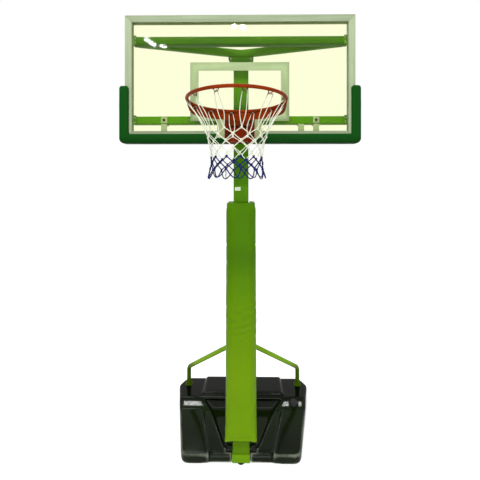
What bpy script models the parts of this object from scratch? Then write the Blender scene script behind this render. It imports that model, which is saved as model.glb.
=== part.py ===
"""Adjustable basketball stand: a glazed board and a breakaway rim on a telescopic mast with a ballast tank.

Lengths are metres and +Z is up. Depths (y) are given behind the board's front face, and spot() turns them
into world places, with the origin on the floor under the middle of the stand.
"""

import math

import bmesh
import bpy
from mathutils import Matrix, Vector

# Clearances
GAP = 0.0003          # between pieces that touch
RUN = 0.0003          # around pieces that slide or turn
OVERCUT = 0.010       # what a cutter reaches past the solid

# Board: aluminium rails around a clear pane
RIM_HEIGHT = 2.286    # middle of the ring's rod at the lowest setting
RIM_OVER_EDGE = 0.128  # ring above the board's lower edge
BOARD_WIDTH = 1.372
BOARD_HEIGHT = 0.734
RAIL_FACE = 0.041
RAIL_DEPTH = 0.040
RAIL_WALL = 0.0025
PANE_THICK = 0.006
PANE_BITE = 0.009     # how far the rails hold the pane's edge
GASKET_THICK = 0.0015
GASKET_LIP = 0.003    # what shows inside the rails

# Shooter's square
SQUARE_WIDTH = 0.590
SQUARE_HEIGHT = 0.350
SQUARE_LINE = 0.050
SQUARE_RISE = 0.103   # above the board's lower edge
SQUARE_THICK = 0.0008

# Edge padding
EDGE_PAD_OUT = 0.031  # beyond the board's edge
EDGE_PAD_LAP = 0.025  # over the rails' face
EDGE_PAD_FRONT = 0.016
EDGE_PAD_BACK = 0.010
EDGE_PAD_BACK_LAP = 0.014
EDGE_PAD_RISE = 0.311  # height of its sides above the board's lower edge
EDGE_PAD_ROUND = 0.008
EDGE_PAD_CORNER = 0.030
EDGE_PAD_INNER_CORNER = 0.004
EDGE_PAD_NOTCH = 0.004  # clear of the rim's mounting plate
EDGE_PAD_HOUSING_NOTCH = 0.003  # clear of the rim's housing

# Beams behind the board and the arms to the mast
BEAM = 0.048
BEAM_WALL = 0.0025
BEAM_LENGTH = 1.310
LOWER_BEAM_RISE = 0.1165  # above the board's lower edge
UPPER_BEAM_DROP = 0.131   # below its upper edge
END_PLATE_WIDTH = 0.036
END_PLATE_HEIGHT = 0.096
END_PLATE_THICK = 0.005
END_PLATE_OVER = 0.012  # past the beam's end
END_PLATE_CORNER = 0.006
ARM_WIDTH = 0.025
ARM_FOOT = 0.545      # inner end of an arm's seat on the upper beam
ARM_HEAD = 0.003      # inner end of its seat on the head plate
ARM_WALL = 0.0025
SPACER_WIDTH = 0.080
SPACER_HEIGHT = 0.045
SPACER_WALL = 0.003
SPACER_FLANGE = 0.005
SPACER_EARS = 0.018   # the flange above and below the spacer
SPACER_LEDGE = 0.001  # the flange's opening inside the spacer's bore
BRACKET_WIDTH = 0.036
BRACKET_THICK = 0.005
BRACKET_LAP = 0.024   # of a rail bracket on the lower rail
BRACKET_SHORT = 0.004  # in front of the beam's rear
BRACKET_PLACES = {"left": -0.462, "centre": 0.371, "right": 0.462}

WASHER_SIDE = 0.037   # square washers in front of the lower beam
WASHER_PLATE = 0.003
BEAM_BOLT_RADIUS = 0.004
BEAM_BOLT_HEAD = 0.005
BEAM_NUT = 0.007
BOLT_END = 0.012      # of a bolt behind what it holds

# Mast: a square tube that slides in another
POLE_FRONT = 0.246    # the outer tube behind the board's face
OUTER_TUBE = 0.110
INNER_TUBE = 0.100
TUBE_WALL = 0.003
TUBE_CORNER = 2.2     # outer corner radius of a square tube, in walls
OUTER_TOP = 1.720
INNER_BOTTOM = 0.250
TRAVEL = 0.762
COLLAR_SLEEVE = 0.060
COLLAR_FLANGE = 0.006
SHOE_PLUG = 0.030
SHOE_FLANGE = 0.008
STOP_THICK = 0.008
CAP_PLUG = 0.020
CAP_THICK = 0.003
HEAD_WIDTH = 0.196
HEAD_EAR_WIDTH = 0.168
HEAD_DROP = 0.030     # the ears below the arms
HEAD_THICK = 0.006
HEAD_BOLT = 0.005
HEAD_BOLT_OUT = 0.0675
HEAD_BOLT_RISE = 0.017  # above the ears' lower edge
HEAD_CORNER = 0.014
HEAD_SHOULDER = 0.010

# Foot of the mast
PAD_FOOT_RADIUS = 0.025
PAD_FOOT_HEIGHT = 0.008
PAD_FOOT_FORWARD = 0.041  # in front of the pole's middle
FOOT_WALL = 0.0045
FOOT_HEIGHT = 0.056
FOOT_FLOOR = 0.005

ROD_HEIGHT = 0.040    # of the rod that ties the tank, the foot and the pole together
TIE_RADIUS = 0.006
TIE_HALF = 0.128

# Ballast tank
TANK_FLOOR = 0.006
TANK_FRONT = 0.262    # front of its middle part
SKIRT_FORWARD = 0.019  # the foot of the middle part's sloping front
LOBE_FORWARD = 0.027  # the lobes in front of the middle part
TANK_REAR = 0.930
TANK_FRONT_HALF = 0.414
TANK_REAR_HALF = 0.549
DECK_TOP = 0.150
DECK_START = 0.668
DECK_CORNER = (0.034, 0.100)
PANEL_HALF = 0.335
PANEL_RISE = 0.021
PANEL_START = 0.022   # behind the deck's front edge
PANEL_END = 0.003     # before the tank's rear
PANEL_DRAFT = 0.012
PANEL_ROOT = 0.040    # what it reaches down into the deck
LOBE_FRONT_TOP = 0.066
LOBE_REAR_TOP = 0.105
LOBE_INSIDE_FRONT = 0.214
LOBE_INSIDE_REAR = 0.322
LOBE_REACH = 0.045    # what the lobes run into the deck
LOBE_NOSE = (0.020, 0.004)  # inner front corner: across, and back from the front
LOBE_CORNER = ((0.050, 0.000), (0.016, 0.012), (0.000, 0.044))  # outer front corner: inwards and back
MIDDLE_FRONT_TOP = 0.056
MIDDLE_REAR_TOP = 0.092
MIDDLE_UNDER = 0.030  # what the middle reaches under the lobes
MIDDLE_REACH = 0.010  # what it runs into the deck
VALLEY_DEPTH = 0.028
VALLEY_FRONT_HALF = 0.098
VALLEY_REAR_HALF = 0.245
VALLEY_START = 0.040  # behind the front of the middle part
VALLEY_END = 0.012    # before the deck
VALLEY_RISE = 0.080   # its sides go out as far as they go up
VALLEY_LEAN = 0.3     # share of that rise by which they lean back
WELL_BEHIND = 0.011   # clear of the pole's foot
WELL_SIDE = 0.002
POCKET_HALF = 0.103   # pockets beside the foot, behind the skirt
POCKET_FLOOR = 0.022
POCKET_FRONT = 0.272
POCKET_SHORT = 0.001  # before the rear of the foot's well
TANK_ROUND = 0.014
TRIM = 0.020          # what its pieces reach below the floor before it is cut level
FOOT_PAD_INSIDE = 0.262
FOOT_PAD_OUTSIDE = 0.372
FOOT_PAD_LENGTH = 0.070
FOOT_PAD_FRONT = 0.010  # behind the lobes' front
FOOT_PAD_REAR = 0.120  # its front edge before the tank's rear
CAP_RADIUS = 0.028
CAP_HEIGHT = 0.010
CAP_NECK_RADIUS = 0.0217
CAP_NECK = 0.016
CAP_SEAL = 0.002
CAP_OUT = 0.408
CAP_GRIP_RADIUS = 0.0174
CAP_GRIP_HEIGHT = 0.006

# Struts from the pole to the tank
STRUT_RADIUS = 0.0175
STRUT_HEIGHT = 0.768
STRUT_START_OUT = 0.016
STRUT_FOOT_OUT = 0.467
STRUT_FOOT_Y = 0.838
STRUT_BEND_HEIGHT = 0.300
STRUT_BEND_RADIUS = 0.060
STRUT_PLATE_WIDTH = 0.100
STRUT_PLATE_HEIGHT = 0.110
STRUT_PLATE_THICK = 0.005
STRUT_IN_SLEEVE = 0.045  # where a strut starts behind the bracket
SLEEVE_ROOT = 0.020   # of a sleeve in the bracket's plate
SLEEVE_WALL = 0.0045
SLEEVE_REACH = 0.085
FOOT_PLATE = (0.060, 0.054, 0.004)
FOOT_PLATE_CORNER = 0.010
FOOT_SLEEVE = 0.030

# Padding of the pole
POLE_PAD_BOTTOM = 0.193
POLE_PAD_OVER = 0.039  # above the outer tube
POLE_PAD_WIDTH_TOP = 0.186
POLE_PAD_WIDTH_BOTTOM = 0.198
POLE_PAD_FRONT = 0.040
POLE_PAD_BEHIND = 0.015
POLE_PAD_CROWN = 0.005
POLE_PAD_FLARE = 0.006
POLE_PAD_DROOP = 0.012
POLE_PAD_CORNER = 0.014
POLE_PAD_BULGE = 0.001
POLE_PAD_EDGE = 0.008  # rounding of its ends
POLE_PAD_HEM = 0.030   # the part at each end that its shape changes over
POLE_PAD_SIDE = 0.060  # the flat part of its sides behind the front corners
STRAP_WIDTH = 0.050
STRAP_THICK = 0.0025
STRAP_SHORT = 0.004   # inside the pad's sides
STRAP_OVER_HEM = 0.227  # the lower strap above the pad's foot
STRAP_OVER_STRUTS = 0.292  # the middle strap above the struts' bracket
STRAP_UNDER_CLAMP = 0.175  # the upper strap below the clamp

# Height clamp behind the pole
CLAMP_DROP = 0.065    # below the outer tube's top
CLAMP_BOSS_RADIUS = 0.016
CLAMP_BOSS_LENGTH = 0.020
CLAMP_SCREW_RADIUS = 0.006
KNOB_RADIUS = 0.030
KNOB_THICK = 0.022
KNOB_EDGE = 0.003
KNOB_LOBES = 5
KNOB_CLEAR = 0.012    # behind the boss
KNOB_GRIP = 0.12      # share of its radius by which the lobes swing
COLLAR_NOTCH_HALF = 0.012
COLLAR_NOTCH_RISE = 0.015  # above the clamp screw

# Rim
RING_Y = -0.376
RING_RADIUS = 0.233   # to the middle of the rod
ROD_RADIUS = 0.008
RING_STEPS = 64
ROD_SIDES = 8
BAND_HEIGHT = 0.048
BAND_THICK = 0.004
BAND_RADIUS = 0.235
BAND_FULL = 70.0      # degrees each side of the back at full height
BAND_END = 92.0
BAND_TIP = 0.12        # share of its height at its ends
NECK_WIDTH = 0.092
NECK_PLATE = 0.004
NECK_REAR = -0.020
NECK_WELD = 0.003     # overlap of the neck and the ring
NECK_INSET = 0.001    # of its floor and nose inside its sides
NOSE_DROP = 0.007     # of the nose's lip
MOUNT_WIDTH = 0.266
MOUNT_TOP = 0.152     # above the board's lower edge
MOUNT_THICK = 0.006
MOUNT_CORNER = 0.008
HOUSING_WIDTH = 0.176
HOUSING_DROP = 0.030  # below the board's lower edge
HOUSING_HEIGHT = 0.148
HOUSING_THICK = 0.006
HOUSING_CORNER = 0.012
HOUSING_TOP_CORNER = 0.004
CHEEK_THICK = 0.005
CHEEK_DROP = 0.008    # of the cheeks below the housing's top
CHEEK_SHOULDER = 0.030  # behind the pivot
CHEEK_TOE = 0.006
SHELF_THICK = 0.005
SHELF_START = 0.020   # behind the pivot
COVER_THICK = 0.0025
COVER_RISE = 0.002    # above the housing's lower edge
COVER_INSET = 0.001   # inside the cheeks' outline
COVER_LIP = (0.008, 0.005)  # its upturned lip: before the pivot and below its eye
WRENCH_CLEAR = 0.003  # round the spring's nut
SLOT_CLEAR = 0.002    # round the spring's bolt
SLOT_BACK = 0.003     # more room behind it
COVER_BACK = 0.024    # the toe of the cheeks behind the pivot
PIVOT_Y = -0.100
PIVOT_DROP = 0.064    # below the ring
PIVOT_RADIUS = 0.005
PIVOT_EYE = 0.013
PIN_END = 0.006
PIN_HEAD = 0.005
PIN_CLIP = 0.003
SPRING_BOLT_Y = -0.050
SPRING_BOLT_RADIUS = 0.005
SPRING_BOLT_LENGTH = 0.093
SPRING_NUT_RISE = 0.004
SPRING_RADIUS = 0.012
SPRING_WIRE = 0.002
SPRING_TURNS = 8
SPRING_POINTS = 9
WASHER_RADIUS = 0.017
WASHER_THICK = 0.003
NUT_RADIUS = 0.009
NUT_HEIGHT = 0.008
RIM_BOLT_RADIUS = 0.005
RIM_BOLT_OUT = 0.070
RIM_BOLT_LOW = 0.022  # above the board's lower edge
RIM_BOLT_HIGH = 0.104
RIM_BOLT_PAST = 0.003  # what the low bolts reach into the rail
BOLT_HEAD_RADIUS = 0.009
BOLT_HEAD_HEIGHT = 0.006

# Net
HOOKS = 12
HOOK_TURN = 10.5      # degrees from the front to the first hook
HOOK_WIRE = 0.002
HOOK_WIDTH = 0.023
HOOK_BAR = 0.014
HOOK_DROP = 0.0165    # below the ring
HOOK_RADIUS = 0.2235
HOOK_ROOT = 0.004     # of its ends below the ring's middle and outside its bar
CORD_RADIUS = 0.0024
CORD_SIDES = 4
NET_ROWS = (          # drop below the ring and radius of each row of knots
    (0.150, 0.148), (0.174, 0.140), (0.202, 0.132), (0.233, 0.126),
    (0.265, 0.121), (0.298, 0.123), (0.320, 0.127), (0.347, 0.134),
)
NET_BLUE_ROW = 4      # the cords are blue from this row down
HOOK_LOOP = (         # the cord round a hook's bar: along it, out from it and up
    (-0.0070, -0.0054, -0.0060), (-0.0064, -0.0054, 0.0012), (-0.0036, -0.0034, 0.0050),
    (0.0036, 0.0034, 0.0050), (0.0064, 0.0054, 0.0012), (0.0070, 0.0054, -0.0060),
)
LOOP_LEG = (0.0075, -0.0455, -0.0750)
NET_TIP_DROP = 0.371
NET_TIP_RADIUS = 0.137

# Places that follow from the sizes
CLAMP_HEIGHT = OUTER_TOP - CLAMP_DROP
POLE_PAD_TOP = OUTER_TOP + POLE_PAD_OVER
STRAP_HEIGHTS = {
    "lower": POLE_PAD_BOTTOM + STRAP_OVER_HEM,
    "middle": STRUT_HEIGHT + STRAP_OVER_STRUTS,
    "upper": CLAMP_HEIGHT - STRAP_UNDER_CLAMP,
}
CENTRE_Y = (RING_Y - RING_RADIUS - ROD_RADIUS + TANK_REAR) / 2
BOARD_BOTTOM = RIM_HEIGHT - RIM_OVER_EDGE
BOARD_TOP = BOARD_BOTTOM + BOARD_HEIGHT
PANE_FRONT = RAIL_WALL + GAP + GASKET_THICK + GAP
PANE_BACK = PANE_FRONT + PANE_THICK
GROOVE_BACK = PANE_BACK + GAP + GASKET_THICK + GAP
BEAM_FRONT = RAIL_DEPTH + GAP + END_PLATE_THICK + GAP
BEAM_BACK = BEAM_FRONT + BEAM
LOWER_BEAM_Z = BOARD_BOTTOM + LOWER_BEAM_RISE
UPPER_BEAM_Z = BOARD_TOP - UPPER_BEAM_DROP
POLE_Y = POLE_FRONT + OUTER_TUBE / 2
POLE_BACK = POLE_FRONT + OUTER_TUBE
INNER_FRONT = POLE_Y - INNER_TUBE / 2
INNER_BACK = POLE_Y + INNER_TUBE / 2
MAST_TOP = UPPER_BEAM_Z + BEAM / 2 - CAP_THICK
BORE = OUTER_TUBE / 2 - TUBE_WALL
POLE_CORNER = TUBE_CORNER * TUBE_WALL
BORE_CORNER = POLE_CORNER - TUBE_WALL
FOOT_BOTTOM = PAD_FOOT_HEIGHT
FOOT_OUTSIDE = OUTER_TUBE / 2 + GAP + FOOT_WALL
POLE_BOTTOM = FOOT_BOTTOM + FOOT_FLOOR + GAP
HEAD_FRONT = INNER_FRONT - GAP - HEAD_THICK
HEAD_BACK = INNER_BACK + GAP + HEAD_THICK
MOUNT_FRONT = -GAP - MOUNT_THICK
HOUSING_BACK = MOUNT_FRONT - GAP
HOUSING_FRONT = HOUSING_BACK - HOUSING_THICK
HOUSING_BOTTOM = BOARD_BOTTOM - HOUSING_DROP
PIVOT_Z = RIM_HEIGHT - PIVOT_DROP
NECK_BOTTOM = PIVOT_Z + NECK_PLATE
SHELF_TOP = NECK_BOTTOM - GAP
SHELF_BOTTOM = SHELF_TOP - SHELF_THICK
HOOK_Z = RIM_HEIGHT - HOOK_DROP

# Colours (linear RGB), roughness and metallic value of each finish
FINISHES = {
    "tank_plastic": ((0.010, 0.013, 0.010), 0.22, 0.0),
    "green_paint": ((0.051, 0.216, 0.003), 0.35, 0.0),
    "bright_green_paint": ((0.205, 0.376, 0.013), 0.35, 0.0),
    "pole_pad_vinyl": ((0.162, 0.305, 0.007), 0.50, 0.0),
    "edge_pad_foam": ((0.008, 0.072, 0.010), 0.45, 0.0),
    "frame_aluminium": ((0.490, 0.580, 0.378), 0.40, 0.6),
    "pane_glass": ((0.900, 0.960, 0.860), 0.05, 0.0),
    "square_paint": ((0.445, 0.604, 0.314), 0.50, 0.0),
    "rim_paint": ((0.440, 0.052, 0.012), 0.38, 0.0),
    "zinc": ((0.610, 0.640, 0.600), 0.35, 0.9),
    "grey_paint": ((0.560, 0.650, 0.480), 0.45, 0.0),
    "black_plastic": ((0.012, 0.012, 0.012), 0.45, 0.0),
    "black_steel": ((0.030, 0.032, 0.030), 0.40, 0.8),
    "rubber": ((0.015, 0.015, 0.015), 0.80, 0.0),
    "net_white": ((0.830, 0.870, 0.720), 0.85, 0.0),
    "net_blue": ((0.030, 0.045, 0.220), 0.85, 0.0),
}


def spot(x, y, z):
    """World place of a point given by its depth behind the board's face."""
    return Vector((x, y - CENTRE_Y, z))


def clear_scene():
    for obj in list(bpy.data.objects):
        bpy.data.objects.remove(obj, do_unlink=True)


def new_collection(name, hidden=False):
    collection = bpy.data.collections.new(name)
    collection.hide_render = hidden
    bpy.context.scene.collection.children.link(collection)
    return collection


def new_material(name):
    colour, roughness, metallic = FINISHES[name]
    material = bpy.data.materials.new(name)
    material.use_nodes = True
    shader = material.node_tree.nodes["Principled BSDF"]
    shader.inputs["Base Color"].default_value = (*colour, 1.0)
    shader.inputs["Roughness"].default_value = roughness
    shader.inputs["Metallic"].default_value = metallic
    if name == "pane_glass":
        shader.inputs["Transmission Weight"].default_value = 0.95
    return material


clear_scene()
PARTS = new_collection("basketball_stand")
CUTTERS = new_collection("cutters", hidden=True)
MATERIALS = {name: new_material(name) for name in FINISHES}


def axis_empty(name, place, parent=None):
    """An empty on a joint's axis, which carries the pieces that move with it."""
    empty = bpy.data.objects.new(name, None)
    empty.empty_display_size = 0.05
    PARTS.objects.link(empty)
    empty.location = place - (parent.matrix_world.translation if parent else Vector())
    empty.parent = parent
    bpy.context.view_layer.update()
    return empty


def part(obj, finish, carrier=None):
    """Names the object's finish and carrier and puts it among the parts."""
    PARTS.objects.link(obj)
    if not obj.data.materials:
        obj.data.materials.append(MATERIALS[finish])
    if carrier:
        obj.parent = carrier
        obj.location = obj.location - carrier.matrix_world.translation
    return obj


def tool(obj):
    """Puts a cutter or a piece of a union among the cutters, out of the render."""
    CUTTERS.objects.link(obj)
    obj.hide_render = True
    obj.display_type = "WIRE"
    return obj


def combine(obj, other, operation):
    modifier = obj.modifiers.new(f"{operation.lower()}_{other.name}", "BOOLEAN")
    modifier.operation = operation
    modifier.solver = "EXACT"
    modifier.object = other
    return obj


def cut(obj, *others):
    for other in others:
        combine(obj, other, "DIFFERENCE")
    return obj


def join(obj, *others):
    for other in others:
        combine(obj, tool(other), "UNION")
    return obj


def together(name, objects):
    """One cutter from several that stand apart."""
    builder = bmesh.new()
    for obj in objects:
        bpy.context.view_layer.update()
        obj.data.transform(obj.matrix_basis)
        builder.from_mesh(obj.data)
        bpy.data.meshes.remove(obj.data)
    return tool(mesh_object(name, builder))


def bevel(obj, width, segments=2, angle=30.0):
    modifier = obj.modifiers.new("rounded_edges", "BEVEL")
    modifier.width = width
    modifier.segments = segments
    modifier.limit_method = "ANGLE"
    modifier.angle_limit = math.radians(angle)
    modifier.use_clamp_overlap = True
    return obj


def mesh_object(name, builder, smooth=False):
    """An object from a bmesh, with its faces turned outwards."""
    bmesh.ops.recalc_face_normals(builder, faces=builder.faces)
    mesh = bpy.data.meshes.new(name)
    builder.to_mesh(mesh)
    builder.free()
    if smooth:
        mesh.shade_smooth()
        mesh.set_sharp_from_angle(angle=math.radians(35))
    return bpy.data.objects.new(name, mesh)


def box(name, low, high):
    """A box between two corners, with its origin at its middle."""
    low, high = Vector(low), Vector(high)
    builder = bmesh.new()
    bmesh.ops.create_cube(builder, size=1.0)
    bmesh.ops.scale(builder, vec=high - low, verts=builder.verts)
    obj = mesh_object(name, builder)
    obj.location = spot(*((low + high) / 2))
    return obj


def rod(name, radius, start, end, sides=24, turn=0.0):
    """A cylinder from one point to another, with its origin at the first, turned about its axis."""
    start, end = spot(*start), spot(*end)
    length = (end - start).length
    builder = bmesh.new()
    placement = Matrix.Translation((0, 0, length / 2)) @ Matrix.Rotation(turn, 4, "Z")
    bmesh.ops.create_cone(
        builder, cap_ends=True, segments=sides, radius1=radius, radius2=radius,
        depth=length, matrix=placement,
    )
    obj = mesh_object(name, builder, smooth=True)
    obj.location = start
    obj.rotation_mode = "QUATERNION"
    obj.rotation_quaternion = (end - start).to_track_quat("Z", "Y")
    return obj


def hull(name, points):
    """The convex solid around a few points."""
    builder = bmesh.new()
    for point in points:
        builder.verts.new(spot(*point))
    result = bmesh.ops.convex_hull(builder, input=builder.verts)
    bmesh.ops.delete(builder, geom=result["geom_interior"], context="VERTS")
    bmesh.ops.dissolve_limit(
        builder, angle_limit=math.radians(1), verts=builder.verts, edges=builder.edges
    )
    return mesh_object(name, builder)


def loft(name, rings, smooth=True):
    """A closed solid through rings of points, with a cap on the first and the last."""
    builder = bmesh.new()
    rows = [[builder.verts.new(spot(*point)) for point in ring] for ring in rings]
    count = len(rows[0])
    for low, high in zip(rows, rows[1:]):
        for i in range(count):
            j = (i + 1) % count
            builder.faces.new((low[i], low[j], high[j], high[i]))
    builder.faces.new(rows[0])
    builder.faces.new(rows[-1])
    return mesh_object(name, builder, smooth)


def from_curve(curve, placement):
    """The mesh of a curve, with its caps welded."""
    drawn = bpy.data.objects.new(curve.name, curve)
    drawn.matrix_world = placement
    CUTTERS.objects.link(drawn)
    graph = bpy.context.evaluated_depsgraph_get()
    mesh = bpy.data.meshes.new_from_object(drawn.evaluated_get(graph))
    name = curve.name
    builder = bmesh.new()
    builder.from_mesh(mesh)
    bmesh.ops.remove_doubles(builder, verts=builder.verts, dist=1e-6)
    bpy.data.objects.remove(drawn)
    bpy.data.curves.remove(curve)
    bpy.data.meshes.remove(mesh)
    obj = mesh_object(name, builder)
    obj.matrix_world = placement
    return obj


FACING = {
    "x": Matrix(((0, 0, 1, 0), (1, 0, 0, 0), (0, 1, 0, 0), (0, 0, 0, 1))),
    "y": Matrix(((1, 0, 0, 0), (0, 0, -1, 0), (0, 1, 0, 0), (0, 0, 0, 1))),
    "z": Matrix.Identity(4),
}


def plate(name, facing, outlines, near, far):
    """A flat outline with its holes, between two places on the axis that it faces."""
    curve = bpy.data.curves.new(name, "CURVE")
    curve.dimensions = "2D"
    curve.fill_mode = "BOTH"
    curve.extrude = abs(far - near) / 2
    for outline in outlines:
        spline = curve.splines.new("POLY")
        spline.points.add(len(outline) - 1)
        spline.use_cyclic_u = True
        for point, (across, up) in zip(spline.points, outline):
            point.co = (across, up, 0, 1)
    middle = (near + far) / 2
    shift = {"x": (middle, 0, 0), "y": (0, middle, 0), "z": (0, 0, middle)}[facing]
    return from_curve(curve, Matrix.Translation(spot(*shift)) @ FACING[facing])


def tube(name, points, radius, resolution=2, cyclic=False):
    """A round bar along points, as a mesh."""
    curve = bpy.data.curves.new(name, "CURVE")
    curve.dimensions = "3D"
    curve.bevel_depth = radius
    curve.bevel_resolution = resolution
    curve.use_fill_caps = True
    spline = curve.splines.new("POLY")
    spline.points.add(len(points) - 1)
    spline.use_cyclic_u = cyclic
    for point, place in zip(spline.points, points):
        point.co = (*spot(*place), 1)
    return from_curve(curve, Matrix.Identity(4))


def rectangle(low, high):
    return [(low[0], low[1]), (high[0], low[1]), (high[0], high[1]), (low[0], high[1])]


def circle(centre, radius, sides=20):
    return [
        (
            centre[0] + radius * math.cos(2 * math.pi * k / sides),
            centre[1] + radius * math.sin(2 * math.pi * k / sides),
        )
        for k in range(sides)
    ]


def rounded(corners, radii, steps=4):
    """An outline whose corners are arcs of the given radii."""
    points = []
    count = len(corners)
    for k, (corner, radius) in enumerate(zip(corners, radii)):
        here = Vector(corner)
        before = (Vector(corners[k - 1]) - here).normalized()
        after = (Vector(corners[(k + 1) % count]) - here).normalized()
        if radius <= 0:
            points.append(tuple(here))
            continue
        half = before.angle(after) / 2
        reach = radius / math.tan(half)
        centre = here + (before + after).normalized() * radius / math.sin(half)
        start = here + before * reach - centre
        turn = start.angle_signed(here + after * reach - centre)
        for step in range(steps + 1):
            angle = -turn * step / steps
            points.append((
                centre.x + start.x * math.cos(angle) - start.y * math.sin(angle),
                centre.y + start.x * math.sin(angle) + start.y * math.cos(angle),
            ))
    return points


def square(centre, half, corner, steps=3):
    """A square outline with round corners."""
    a, b = centre
    return rounded(rectangle((a - half, b - half), (a + half, b + half)), [corner] * 4, steps)


def square_tube(name, half, wall, facing, centre, near, far, corner=None):
    """A square tube along the axis that it faces, with round corners."""
    corner = corner or TUBE_CORNER * wall
    inner = max(corner - wall, wall / 2)
    return plate(name, facing, [square(centre, half, corner), square(centre, half - wall, inner)], near, far)


def square_block(name, half, corner, low, high):
    """A square plug on the mast's axis, with round corners."""
    return plate(name, "z", [square((0, POLE_Y), half, corner)], low, high)


# Empties on the axes of the pieces that move
MAST_AXIS = axis_empty("mast_axis", spot(0, POLE_Y, INNER_BOTTOM))
RIM_AXIS = axis_empty("rim_axis", spot(0, PIVOT_Y, PIVOT_Z), MAST_AXIS)


def bolt_places():
    """The four bolts of the rim: row and side, how far out, and how high."""
    for height, row in ((RIM_BOLT_LOW, "low"), (RIM_BOLT_HIGH, "high")):
        for sign, side in ((-1, "left"), (1, "right")):
            yield row, side, sign * RIM_BOLT_OUT, BOARD_BOTTOM + height


def bolt_cutters(wanted):
    """The holes of one row of bolts: the high ones pass the lower beam, the low ones end in the rail."""
    start = HOUSING_FRONT - OVERCUT
    end = BEAM_BACK + OVERCUT if wanted == "high" else RAIL_WALL + RIM_BOLT_PAST + GAP
    radius = RIM_BOLT_RADIUS + 2 * GAP
    drills = [
        rod(f"bolt_hole_{row}_{side}", radius, (x, start, z), (x, end, z), sides=16)
        for row, side, x, z in bolt_places()
        if row == wanted
    ]
    return together(f"{wanted}_bolt_holes", drills)


# Cutters that several pieces share
HIGH_BOLT_TOOL = bolt_cutters("high")
LOW_BOLT_TOOL = bolt_cutters("low")
TIE_END = (TIE_HALF + GAP, POLE_Y, ROD_HEIGHT)
TIE_START = (-TIE_HALF - GAP, POLE_Y, ROD_HEIGHT)
TIE_TOOL = tool(rod("tie_hole", TIE_RADIUS + RUN, TIE_START, TIE_END, sides=16))


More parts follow.
